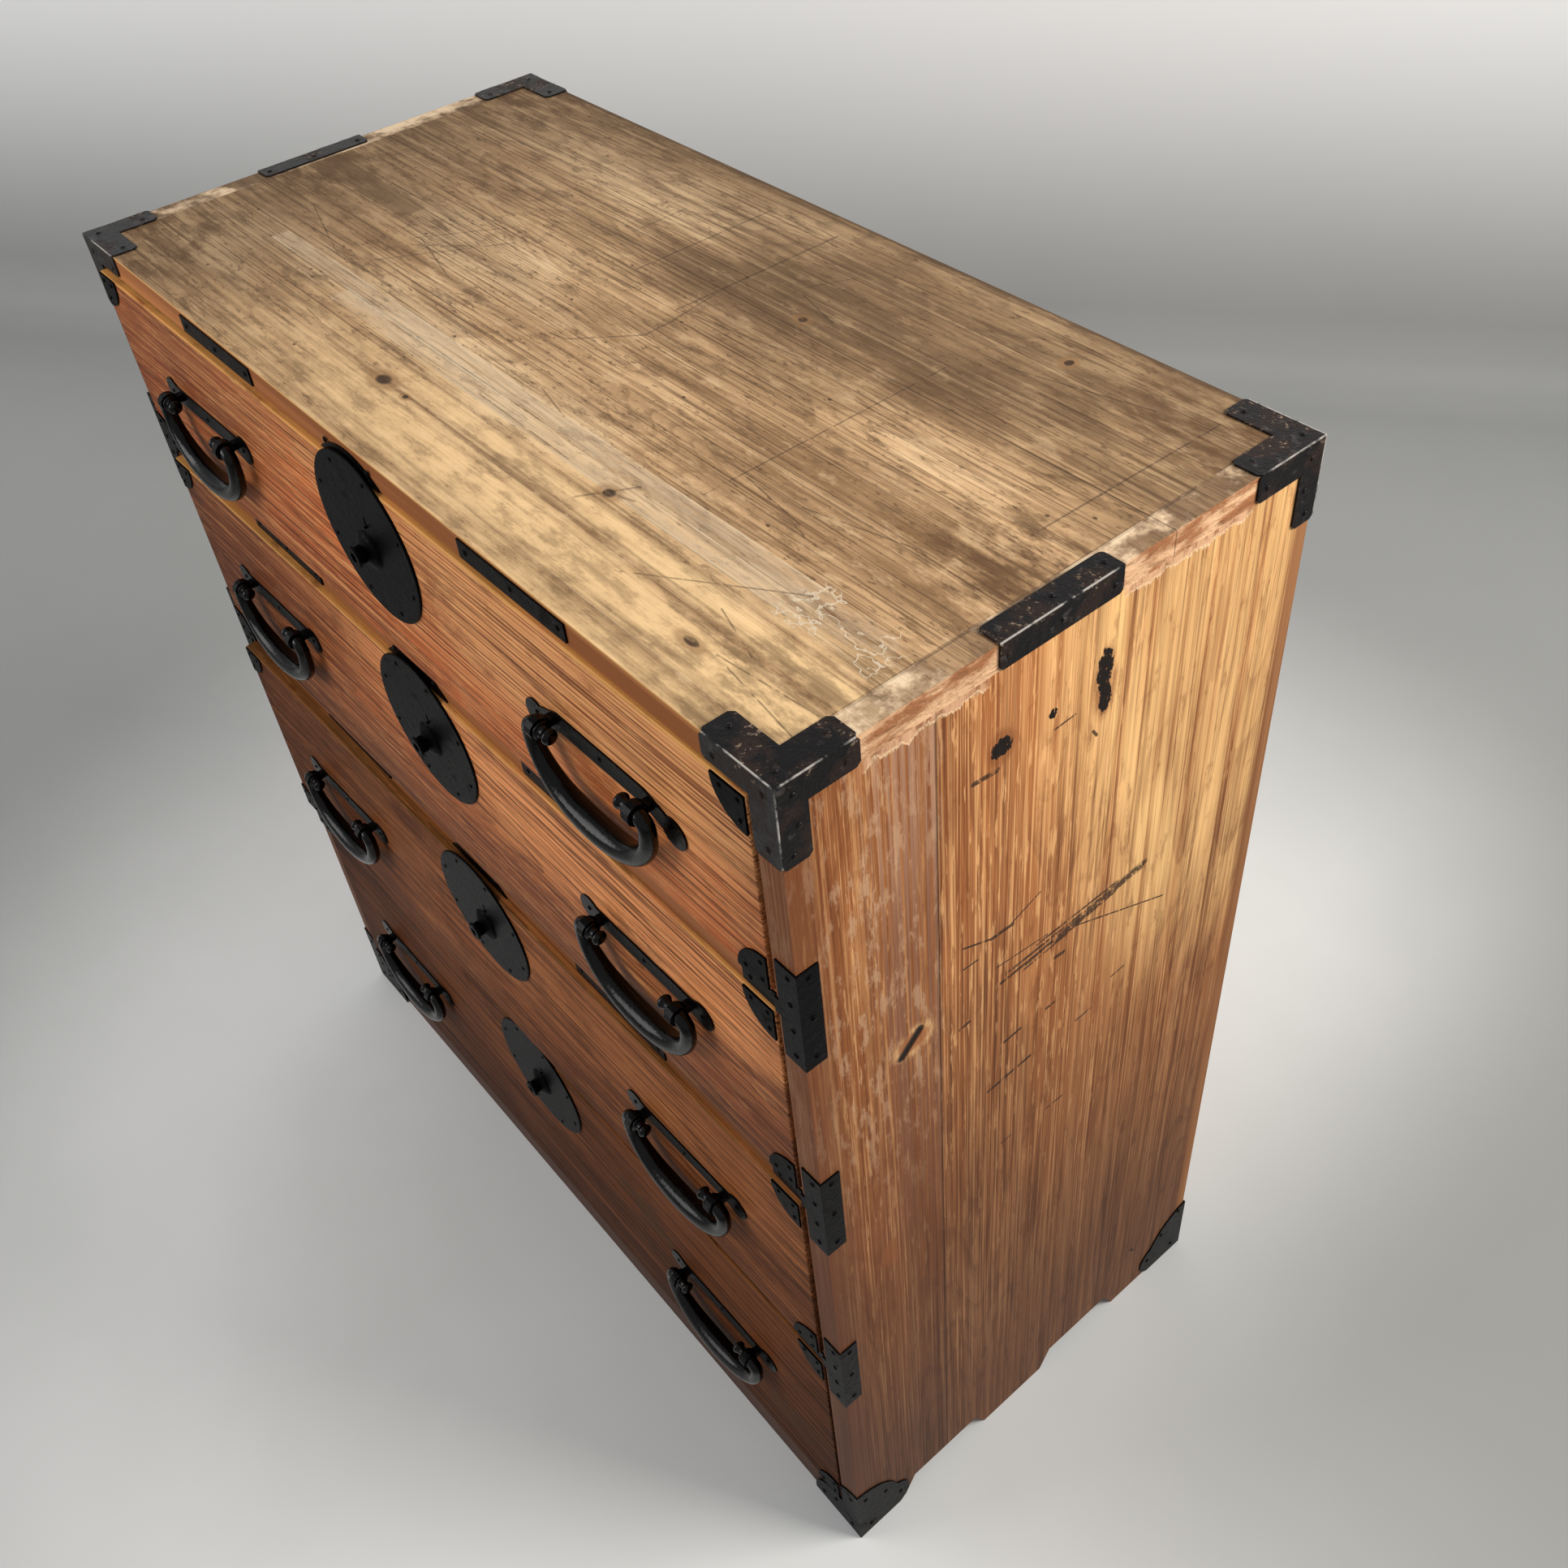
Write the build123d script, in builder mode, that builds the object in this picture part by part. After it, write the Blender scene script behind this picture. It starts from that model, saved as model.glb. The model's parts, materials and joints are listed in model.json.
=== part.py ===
from build123d import *
import os
from math import atan2, cos, degrees, pi, radians, sin, tan

# A Japanese clothing chest (isho-dansu): a board case with four full-width drawers and iron mounts.
# Frame: +Z up, the drawer fronts face -Y, +X is the viewer's right, and the origin is the centre of
# the base on the floor. Lengths are in millimetres, angles in degrees. Drawer 1 is the top drawer.

# Case boards
case_width = 920
case_depth = 450
side_thick = 22
top_thick = 20
back_thick = 12
back_board_count = 3
back_board_gap = 0.5
rail_height = 20
rail_depth = 26
base_rail_height = 43
base_rail_thick = 22
rail_recess = 1.5
shelf_thick = 8
bottom_thick = 12
bearer_width = 36
housing_depth = 6
cleat_width = 15
stop_width = 34
stop_height = 16
stop_inset = 60

# Foot arches in the lower edge of each side board
arch_width = 80
arch_height = 25
arch_slope = 13
arch_centres = (-115, 69)

# Drawers, from the top one down
opening_heights = (168.5, 204.5, 228.5, 275.5)
head_gaps = (3.0, 0.5, 0.5, 0.5)
front_standings = (3.1, 3.2, 6.3, 1.5)
front_skews = (0.25, 0.29, 0.53, 0.13)
handle_rises = (4.7, 13.0, 4.0, 7.0)
gap_left = 1.2
gap_right = 3.6
run_gap = 0.3
stop_gap = 0.4
drawer_room = 13
front_thick = 20
front_lap = 8
front_arris = 1.2
drawer_side_thick = 13
drawer_back_thick = 11
drawer_bottom_thick = 8
drawer_side_drop = 5
drawer_back_drop = 14

# Lock of each drawer: a round plate, a key tube, a case let into the back of the front, and a bolt
lock_plate_radius = 68
lock_plate_thick = 2
lock_drop = 54
key_tube_drop = 10
key_tube_length = 13
key_tube_base_radius = 16
key_tube_base_height = 1.5
key_tube_ridge_radius = 12.5
key_tube_neck_radius = 7
key_tube_neck_start = 5.5
key_tube_lip_radius = 9
key_tube_lip_height = 2
key_tube_bevel = 1
key_bore_radius = 4
lock_case_width = 60
lock_case_height = 46
lock_case_depth = 12
lock_sheet = 1.5
bolt_width = 16
bolt_thick = 3
bolt_inset = 12.5
bolt_foot = 3
bolt_head_gap = 3
bolt_travel = 8
bolt_gap = 0.4
bolt_x = 8
mortise_gap = 1.0
mortise_spare = 2.0
pin_radius = 1.0
pin_rise = 14
pin_proud = 2.5

# Handles: a lobed plate, two eyes clinched through the front, and a bail that hangs in them
handle_share = 0.3054
plate_length = 157
plate_lobe_radius = 12
plate_waist = 15.5
plate_blend = 9
plate_thick = 1.5
bent_plate_length = 176
bent_plate_droop = 20
bent_plate_straight = 92
axis_standoff = 12.5
eye_x = 52.5
eye_width = 7
eye_wall = 2.4
eye_flat_count = 12
eye_shank = 6
clinch_length = 24
clinch_thick = 2
pin_gap = 0.3
bail_pin_radius = 5.5
bail_flat_count = 12
bail_bar_radius = 5.8
bail_bead_radius = 6.2
bail_bead_rise = 3
bail_neck_radius = 4.2
bail_collar_radius = 7
bail_collar_width = 2
bail_tip_x = 35.5
bail_end_gap = 0.5
bail_side_x = 63.5
bail_bend_radius = 7
bail_side_turn = 55
bail_depth = 54
bail_belly_radius = 10

# Iron mounts nailed to the case and the drawer fronts
iron_thick = 1.5
drawer_corner_radius = 29.5
edge_inset = 0.5
top_iron_width = 22
top_iron_reach = 62
top_iron_side_reach = 57
top_iron_rear_reach = 64
top_iron_lip = 18
top_iron_band = 20
top_iron_leg = 62
iron_clip = 3
strap_round = 4
mid_strap_length = 102
mid_strap_y = -13
mid_strap_top = 17.5
mid_strap_side = 19
rail_strap_length = 93
rail_strap_leaf = 18.5
rail_strap_side = 16
rail_strap_arm = 34.5
rail_strap_arm_height = 14
strip_length = 120
strip_height = 14.3
strip_share_top = 0.226
strip_share_rail = 0.2315
strike_rise = 3.5
foot_iron_height = 90
foot_iron_rear_height = 80
foot_cusp_reach = 47
foot_side_reach = 61
foot_toe_round = 12
foot_lobe_reach = 31
foot_lobe_drop = 15
foot_bulge_level = 0.26
foot_shoulder_level = 0.867
foot_shoulder_reach = 13
foot_shoulder_drop = 4
foot_front_reach = 63
foot_crest_reach = 52
foot_crest_level = 0.76

# Places that follow from the sizes above
half_width = case_width / 2
half_depth = case_depth / 2
opening_half = half_width - side_thick
rail_face_y = -half_depth + rail_recess
rail_back_y = rail_face_y + rail_depth
back_face_y = half_depth - back_thick
drawer_depth = case_depth - back_thick - drawer_room
drawer_ids = range(len(opening_heights))
handle_x = case_width * handle_share
strip_x_top = case_width * strip_share_top
strip_x_rail = case_width * strip_share_rail

floors = []
level = base_rail_height
for opening_height in reversed(opening_heights):
    floors.insert(0, level)
    level += opening_height + rail_height
case_height = level - rail_height + top_thick
side_height = case_height - top_thick
shelf_tops = floors[:-1]

drawer_left = -opening_half + gap_left
drawer_right = opening_half - gap_right
fronts_low = [floor + run_gap for floor in floors]
fronts_high = [floor + height - gap for floor, height, gap in zip(floors, opening_heights, head_gaps)]
side_tops = [high - drawer_side_drop for high in fronts_high]
lock_levels = [high - lock_drop for high in fronts_high]
handle_levels = [
    (low + high) / 2 + rise for low, high, rise in zip(fronts_low, fronts_high, handle_rises)
]


def face_y(drawer, x, inset):
    """Return the y of a point of a drawer, at a width x and a depth behind the drawer's face."""
    slope = tan(radians(front_skews[drawer]))
    return -half_depth - front_standings[drawer] + x * slope + inset


def plan_patch(drawer, x_from, x_to, inset_from, inset_to):
    """Return the plan corners of a drawer piece: the drawers stand a little askew in their openings."""
    return (
        (x_from, face_y(drawer, x_from, inset_from)),
        (x_to, face_y(drawer, x_to, inset_from)),
        (x_to, face_y(drawer, x_to, inset_to)),
        (x_from, face_y(drawer, x_from, inset_to)),
    )


def front_plane(drawer, x, z, standoff=0):
    """Return a plane on a drawer's face at (x, z), with its normal pointing at the viewer."""
    skew = radians(front_skews[drawer])
    normal = Vector(sin(skew), -cos(skew), 0)
    origin = Vector(x, face_y(drawer, x, 0), z) + normal * standoff
    return Plane(origin=origin, x_dir=(cos(skew), sin(skew), 0), z_dir=normal)


def save(part, name):
    """Label a finished piece and write it under its name."""
    part.label = name
    export_step(part, f"parts/{name}.step")


os.makedirs("parts", exist_ok=True)

# Case: two side boards, each with two foot arches and the housings of the rails and shelves


def side_outline():
    """Draw a side board's face, its lower edge cut into three feet."""
    points = [(-half_depth, 0)]
    for centre in arch_centres:
        points.append((centre - arch_width / 2 - arch_slope, 0))
        points.append((centre - arch_width / 2, arch_height))
        points.append((centre + arch_width / 2, arch_height))
        points.append((centre + arch_width / 2 + arch_slope, 0))
    points += [(back_face_y, 0), (back_face_y, side_height), (-half_depth, side_height)]
    Polygon(*points, align=None)


def housing_patch(y_from, y_to, z_from, z_to):
    """Draw the mouth of a housing on a side board's inner face."""
    with Locations(((y_from + y_to) / 2, (z_from + z_to) / 2)):
        Rectangle(y_to - y_from, z_to - z_from)


for name, outer_x, inward in (("left_side", -half_width, 1), ("right_side", half_width, -1)):
    with BuildPart() as side:
        with BuildSketch(Plane.YZ.offset(outer_x)):
            side_outline()
        extrude(amount=inward * side_thick)
        with BuildSketch(Plane.YZ.offset(outer_x + inward * side_thick)):
            for floor in shelf_tops:
                housing_patch(rail_face_y, rail_back_y, floor - rail_height, floor)
                housing_patch(rail_back_y, back_face_y, floor - shelf_thick, floor)
            base_back_y = rail_face_y + base_rail_thick
            housing_patch(rail_face_y, base_back_y, 0, base_rail_height)
            housing_patch(base_back_y, back_face_y, base_rail_height - bottom_thick, base_rail_height)
        extrude(amount=-inward * housing_depth, mode=Mode.SUBTRACT)
    save(side.part, name)

# Case: top, rails, base rail, shelves and bottom, housed in the sides, and a bearer under the bottom

board_half = opening_half + housing_depth
bolt_y = [face_y(drawer, bolt_x, bolt_inset + bolt_thick / 2) for drawer in drawer_ids]
mortise_depth = bolt_travel - bolt_head_gap + mortise_spare


def mortise_patch(drawer):
    """Draw the mouth of the mortise that a drawer's bolt rises into."""
    with Locations((bolt_x, bolt_y[drawer])):
        Rectangle(bolt_width + 2 * mortise_gap, bolt_thick + 2 * mortise_gap)


with BuildPart() as top_board:
    with BuildSketch(Plane.XY.offset(side_height)):
        Rectangle(case_width, case_depth)
    extrude(amount=top_thick)
    with BuildSketch(Plane.XY.offset(side_height)):
        mortise_patch(0)
    extrude(amount=mortise_depth, mode=Mode.SUBTRACT)
save(top_board.part, "top_board")

with BuildPart() as rails:
    for drawer, floor in enumerate(shelf_tops, start=1):
        with BuildSketch(Plane.XY.offset(floor - rail_height)):
            with Locations((0, (rail_face_y + rail_back_y) / 2)):
                Rectangle(2 * board_half, rail_depth)
        extrude(amount=rail_height)
        with BuildSketch(Plane.XY.offset(floor - rail_height)):
            mortise_patch(drawer)
        extrude(amount=mortise_depth, mode=Mode.SUBTRACT)
save(rails.part, "rails")

with BuildPart() as base_rail:
    with BuildSketch(Plane.XY):
        with Locations((0, rail_face_y + base_rail_thick / 2)):
            Rectangle(2 * board_half, base_rail_thick)
    extrude(amount=base_rail_height)
save(base_rail.part, "base_rail")

with BuildPart() as shelves:
    for floor in shelf_tops:
        with BuildSketch(Plane.XY.offset(floor - shelf_thick)):
            with Locations((0, (rail_back_y + back_face_y) / 2)):
                Rectangle(2 * board_half, back_face_y - rail_back_y)
        extrude(amount=shelf_thick)
save(shelves.part, "shelves")

bottom_depth = back_face_y - base_back_y
bottom_middle_y = (base_back_y + back_face_y) / 2
with BuildPart() as bottom_board:
    with BuildSketch(Plane.XY.offset(base_rail_height - bottom_thick)):
        with Locations((0, bottom_middle_y)):
            Rectangle(2 * board_half, bottom_depth)
    extrude(amount=bottom_thick)
with BuildPart() as bearer:
    with BuildSketch(Plane.XY):
        with Locations((0, bottom_middle_y)):
            Rectangle(bearer_width, bottom_depth)
    extrude(amount=base_rail_height - bottom_thick)
save(Compound(children=bottom_board.solids() + bearer.solids()), "bottom_board")

# Case: back boards side by side, nailed over the rear edges of the sides

back_board_width = case_width / back_board_count
with BuildPart() as back_boards:
    with BuildSketch(Plane.XY):
        with Locations((0, (back_face_y + half_depth) / 2)):
            with GridLocations(back_board_width, 0, back_board_count, 1):
                Rectangle(back_board_width - back_board_gap, back_thick)
    extrude(amount=side_height)
save(back_boards.part, "back_boards")

# Case: cleats under the shelves, and stops behind the drawers

cleat_height = rail_height - shelf_thick
with BuildPart() as cleats:
    for floor in shelf_tops:
        with BuildSketch(Plane.XY.offset(floor - rail_height)):
            for side_sign in (-1, 1):
                with Locations((side_sign * (opening_half - cleat_width / 2), (rail_back_y + back_face_y) / 2)):
                    Rectangle(cleat_width, back_face_y - rail_back_y)
        extrude(amount=cleat_height)
save(cleats.part, "runners")

with BuildPart() as drawer_stops:
    for drawer in drawer_ids:
        with BuildSketch(Plane.XY.offset(floors[drawer])):
            for side_sign in (-1, 1):
                stop_x = side_sign * (opening_half - stop_inset)
                stop_face_y = face_y(drawer, stop_x + stop_width / 2, drawer_depth) + stop_gap
                with Locations((stop_x, (stop_face_y + back_face_y) / 2)):
                    Rectangle(stop_width, back_face_y - stop_face_y)
        extrude(amount=stop_height)
save(drawer_stops.part, "drawer_stops")

# Iron mounts of the case


def elbow(corner, reach_x, reach_y, width_x, width_y):
    """Draw an L from a corner: an arm along x and an arm along y."""
    x, y = corner
    sign_x = 1 if reach_x > 0 else -1
    sign_y = 1 if reach_y > 0 else -1
    Polygon(
        (x, y),
        (x + reach_x, y),
        (x + reach_x, y + sign_y * width_x),
        (x + sign_x * width_y, y + sign_y * width_x),
        (x + sign_x * width_y, y + reach_y),
        (x, y + reach_y),
        align=None,
    )


def clip_far_ends(sketch, corner):
    """Clip the arm ends of an L, which are its four corners farthest from where the arms meet."""
    chamfer(sketch.vertices().sort_by_distance(Vector(*corner))[2:], length=iron_clip)


def top_corner_iron(side_reach):
    """Make the three-way iron of the front right top corner, with a leg down each upright face."""
    over = iron_thick
    with BuildPart() as iron:
        top_corner = (half_width + over, -half_depth - over)
        with BuildSketch(Plane.XY.offset(case_height)) as top_leaf:
            elbow(top_corner, -top_iron_reach - over, side_reach + over,
                  top_iron_width + over, top_iron_width + over)
            clip_far_ends(top_leaf, top_corner)
        extrude(amount=over)
        front_corner = (half_width + over, case_height + over)
        with BuildSketch(Plane.XZ.offset(half_depth)) as front_leaf:
            elbow(front_corner, -top_iron_reach - over, -top_iron_leg - over,
                  top_iron_lip + over, side_thick + over)
            clip_far_ends(front_leaf, front_corner)
        extrude(amount=over)
        side_corner = (-half_depth - over, case_height + over)
        with BuildSketch(Plane.YZ.offset(half_width)) as side_leaf:
            elbow(side_corner, side_reach + over, -top_iron_leg - over,
                  top_iron_band + over, top_iron_band + over)
            clip_far_ends(side_leaf, side_corner)
        extrude(amount=over)
    return iron.part


front_top_iron = top_corner_iron(top_iron_side_reach)
rear_top_iron = top_corner_iron(top_iron_rear_reach).mirror(Plane.XZ)
with BuildPart() as top_corner_irons:
    add(front_top_iron)
    add(rear_top_iron)
    mirror(about=Plane.YZ)
save(top_corner_irons.part, "top_corner_irons")


def foot_iron(height, front_depth):
    """Make the scalloped iron of the front right foot: two lobes on each upright face."""
    over = iron_thick
    with BuildPart() as iron:
        with BuildSketch(Plane.YZ.offset(half_width)):
            with BuildLine():
                edge = -half_depth - over
                cusp = (-half_depth + foot_cusp_reach, height / 2)
                toe = (-half_depth + foot_side_reach - foot_toe_round, 0)
                ThreePointArc((edge, height), (edge + foot_lobe_reach, height - foot_lobe_drop), cusp)
                ThreePointArc(cusp, (-half_depth + foot_side_reach, height * foot_bulge_level), toe)
                Line(toe, (edge, 0))
                Line((edge, 0), (edge, height))
            make_face()
        extrude(amount=over)
        with BuildSketch(Plane.XZ.offset(half_depth)):
            with BuildLine():
                edge = half_width + over
                shoulder = (half_width - side_thick, height * foot_shoulder_level)
                step = (half_width - side_thick, front_depth)
                crest = (half_width - foot_crest_reach, front_depth * foot_crest_level)
                toe = (half_width - foot_front_reach, 0)
                ThreePointArc((edge, height), (edge - foot_shoulder_reach, height - foot_shoulder_drop), shoulder)
                Line(shoulder, step)
                ThreePointArc(step, crest, toe)
                Line(toe, (edge, 0))
                Line((edge, 0), (edge, height))
            make_face()
        extrude(amount=over)
    return iron.part


front_foot_iron = foot_iron(foot_iron_height, base_rail_height - edge_inset)
rear_foot_iron = foot_iron(foot_iron_rear_height, base_rail_height).mirror(Plane.XZ)
with BuildPart() as bottom_corner_irons:
    add(front_foot_iron)
    add(rear_foot_iron)
    mirror(about=Plane.YZ)
save(bottom_corner_irons.part, "bottom_corner_irons")

with BuildPart() as edge_straps:
    with BuildSketch(Plane.XY.offset(case_height)):
        with Locations((half_width + (iron_thick - mid_strap_top) / 2, mid_strap_y)):
            RectangleRounded(mid_strap_top + iron_thick, mid_strap_length, strap_round)
            with Locations(((mid_strap_top + iron_thick) / 4, 0)):
                Rectangle((mid_strap_top + iron_thick) / 2, mid_strap_length)
    extrude(amount=iron_thick)
    with BuildSketch(Plane.YZ.offset(half_width)):
        with Locations((mid_strap_y, case_height + (iron_thick - mid_strap_side) / 2)):
            RectangleRounded(mid_strap_length, mid_strap_side + iron_thick, strap_round)
            with Locations((0, (mid_strap_side + iron_thick) / 4)):
                Rectangle(mid_strap_length, (mid_strap_side + iron_thick) / 2)
    extrude(amount=iron_thick)
    mirror(about=Plane.YZ)
save(edge_straps.part, "edge_straps")

rail_centres = [floor - rail_height / 2 for floor in shelf_tops]
strap_leaf_x = half_width - rail_strap_leaf
strap_arm_x = opening_half - rail_strap_arm


def leaf_outline():
    """Draw the plan of a strap's upright leaves, bent round the stile's outer edge."""
    Polygon(
        (strap_leaf_x, -half_depth),
        (half_width, -half_depth),
        (half_width, -half_depth + rail_strap_side),
        (half_width + iron_thick, -half_depth + rail_strap_side),
        (half_width + iron_thick, -half_depth - iron_thick),
        (strap_leaf_x, -half_depth - iron_thick),
        align=None,
    )


def arm_outline():
    """Draw the plan of a strap's arm, which steps back from the stile onto the rail."""
    Polygon(
        (strap_arm_x, rail_face_y),
        (opening_half, rail_face_y),
        (opening_half, -half_depth),
        (half_width, -half_depth),
        (half_width, -half_depth - iron_thick),
        (opening_half - iron_thick, -half_depth - iron_thick),
        (opening_half - iron_thick, rail_face_y - iron_thick),
        (strap_arm_x, rail_face_y - iron_thick),
        align=None,
    )


with BuildPart() as rail_straps:
    for centre in rail_centres:
        with BuildSketch(Plane.XY.offset(centre - rail_strap_length / 2)):
            leaf_outline()
        extrude(amount=rail_strap_length)
        with BuildSketch(Plane.XY.offset(centre - rail_strap_arm_height / 2)):
            arm_outline()
        extrude(amount=rail_strap_arm_height)
    mirror(about=Plane.YZ)
save(rail_straps.part, "rail_straps")

strip_gap = (top_thick - strip_height) / 2
with BuildPart() as front_strips:
    with BuildSketch(Plane.XZ.offset(half_depth)):
        with Locations((strip_x_top, case_height - strip_gap - strip_height / 2)):
            Rectangle(strip_length, strip_height)
    extrude(amount=iron_thick)
    with BuildSketch(Plane.XZ.offset(-rail_face_y)):
        for centre in rail_centres:
            with Locations((strip_x_rail, centre)):
                Rectangle(strip_length, strip_height)
    extrude(amount=iron_thick)
    mirror(about=Plane.YZ)
save(front_strips.part, "front_strips")

# Strike plates: the part of a lock plate's round that shows on the rail above the drawer


def strike_outline(drawer, low, high):
    """Draw a strike plate: a segment of a round, standing on the rail's lower edge."""
    with Locations((0, lock_levels[drawer] + strike_rise)):
        Circle(lock_plate_radius)
    with Locations((0, (low + high) / 2)):
        Rectangle(2 * lock_plate_radius, high - low, mode=Mode.INTERSECT)


with BuildPart() as strike_plates:
    with BuildSketch(Plane.XZ.offset(half_depth)):
        strike_outline(0, side_height, case_height)
    extrude(amount=iron_thick)
    for drawer, floor in enumerate(shelf_tops, start=1):
        with BuildSketch(Plane.XZ.offset(-rail_face_y)):
            strike_outline(drawer, floor - rail_height, floor)
        extrude(amount=iron_thick)
save(strike_plates.part, "strike_plates")

# Drawers: the boards of each one, then its iron mounts, its lock and its two handles

key_tube_profile = (
    (0, 0),
    (key_tube_base_radius, 0),
    (key_tube_base_radius - key_tube_bevel, -key_tube_base_height),
    (key_tube_ridge_radius, -2 * key_tube_base_height),
    (key_tube_neck_radius, -key_tube_neck_start),
    (key_tube_neck_radius, key_tube_lip_height - key_tube_length),
    (key_tube_lip_radius, key_tube_lip_height - key_tube_length),
    (key_tube_lip_radius - key_tube_bevel, -key_tube_length),
    (0, -key_tube_length),
)
pin_slot_width = 2 * (pin_radius + pin_gap)
pin_slot_height = bolt_travel + pin_slot_width
bolt_low = bolt_foot
bolt_high = lock_drop - bolt_head_gap
notch_start = front_thick - bolt_inset - bolt_thick - bolt_gap
eye_inner_radius = bail_pin_radius + pin_gap
eye_outer_radius = eye_inner_radius + eye_wall
eye_places = [(side_sign * eye_x, 0) for side_sign in (-1, 1)]
bend_x = bail_side_x - bail_bend_radius
collar_x = eye_x - eye_width / 2 - bail_end_gap
bead_x = bail_tip_x + bail_bead_rise
bead_shrink = (bail_bead_radius - bail_neck_radius) * cos(pi / bail_flat_count)
bead_taper = degrees(atan2(bead_shrink, bail_bead_rise))

# The bail's centreline is a D: a tight bend at the eye, then two arcs that meet in one tangent and
# reach the level of the belly after a quarter turn in all
side_turn = radians(bail_side_turn)
curve_gain = (bail_side_x - (bail_depth - bail_bend_radius)) / (sin(side_turn) + cos(side_turn) - 1)
bail_side_radius = bail_side_x - curve_gain * cos(side_turn)
bail_belly_curve = bail_side_radius + curve_gain


def slot_patch(width, height):
    """Draw the upright slot of the bolt's pin, seen from the front, about the lock's centre."""
    with Locations((bolt_x, pin_rise + (height - width) / 2)):
        SlotOverall(height, width, rotation=90)


def make_boards(drawer):
    """Make the front, sides, back and bottom of one drawer."""
    low = fronts_low[drawer]
    high = fronts_high[drawer]
    side_low = low + drawer_bottom_thick
    side_high = side_tops[drawer]
    lap_inset = front_thick - front_lap
    left_in = drawer_left + drawer_side_thick
    right_in = drawer_right - drawer_side_thick
    lock_plane = front_plane(drawer, 0, lock_levels[drawer], -front_thick)
    with BuildPart() as front:
        with BuildSketch(Plane.XY.offset(low)):
            Polygon(*plan_patch(drawer, drawer_left, drawer_right, 0, front_thick), align=None)
        extrude(amount=high - low)
        fillet(front.faces().sort_by(Axis.Y)[0].edges(), radius=front_arris)
        with BuildSketch(Plane.XY.offset(low)):
            Polygon(*plan_patch(drawer, drawer_left, left_in, lap_inset, front_thick), align=None)
            Polygon(*plan_patch(drawer, right_in, drawer_right, lap_inset, front_thick), align=None)
        extrude(amount=side_high - low, mode=Mode.SUBTRACT)
        with BuildSketch(Plane.XY.offset(low)):
            Polygon(*plan_patch(drawer, left_in, right_in, lap_inset, front_thick), align=None)
        extrude(amount=drawer_bottom_thick, mode=Mode.SUBTRACT)
        with BuildSketch(lock_plane):
            Rectangle(lock_case_width, lock_case_height)
        extrude(amount=lock_case_depth, mode=Mode.SUBTRACT)
        with BuildSketch(lock_plane):
            with Locations((bolt_x, lock_drop / 2)):
                Rectangle(bolt_width + 2 * bolt_gap, lock_drop)
        extrude(amount=front_thick - bolt_inset + bolt_gap, mode=Mode.SUBTRACT)
        with BuildSketch(lock_plane):
            slot_patch(pin_slot_width, pin_slot_height)
            with Locations((0, -key_tube_drop)):
                Circle(key_bore_radius)
        extrude(amount=front_thick, mode=Mode.SUBTRACT)
        for handle_sign in (-1, 1):
            handle_plane = front_plane(drawer, handle_sign * handle_x, handle_levels[drawer])
            with BuildSketch(handle_plane):
                with Locations(*eye_places):
                    Rectangle(eye_width, eye_shank)
            extrude(amount=-front_thick, mode=Mode.SUBTRACT)
    save(front.part, f"drawer_{drawer + 1}_front")
    with BuildPart() as sides:
        with BuildSketch(Plane.XY.offset(side_low)):
            Polygon(*plan_patch(drawer, drawer_left, left_in, lap_inset, drawer_depth), align=None)
            Polygon(*plan_patch(drawer, right_in, drawer_right, lap_inset, drawer_depth), align=None)
        extrude(amount=side_high - side_low)
    save(sides.part, f"drawer_{drawer + 1}_sides")
    with BuildPart() as back:
        back_inset = drawer_depth - drawer_back_thick
        with BuildSketch(Plane.XY.offset(side_low)):
            Polygon(*plan_patch(drawer, left_in, right_in, back_inset, drawer_depth), align=None)
        extrude(amount=side_high - drawer_back_drop - side_low)
    save(back.part, f"drawer_{drawer + 1}_back")
    with BuildPart() as bottom:
        with BuildSketch(Plane.XY.offset(low)):
            Polygon(*plan_patch(drawer, drawer_left, drawer_right, lap_inset, drawer_depth), align=None)
        extrude(amount=drawer_bottom_thick)
    save(bottom.part, f"drawer_{drawer + 1}_bottom")


def make_corner_plates(drawer):
    """Make the quarter-round plates nailed on the four corners of a drawer front."""
    low = fronts_low[drawer] + edge_inset
    high = fronts_high[drawer] - edge_inset
    centre_x = (drawer_left + drawer_right) / 2
    reach_x = (drawer_right - drawer_left) / 2 - edge_inset
    reach_z = (high - low) / 2
    with BuildPart() as plates:
        with BuildSketch(front_plane(drawer, centre_x, (low + high) / 2)):
            with GridLocations(2 * reach_x, 2 * reach_z, 2, 2):
                Circle(drawer_corner_radius)
            Rectangle(2 * reach_x, 2 * reach_z, mode=Mode.INTERSECT)
        extrude(amount=iron_thick)
    save(plates.part, f"drawer_{drawer + 1}_corner_plates")


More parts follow.
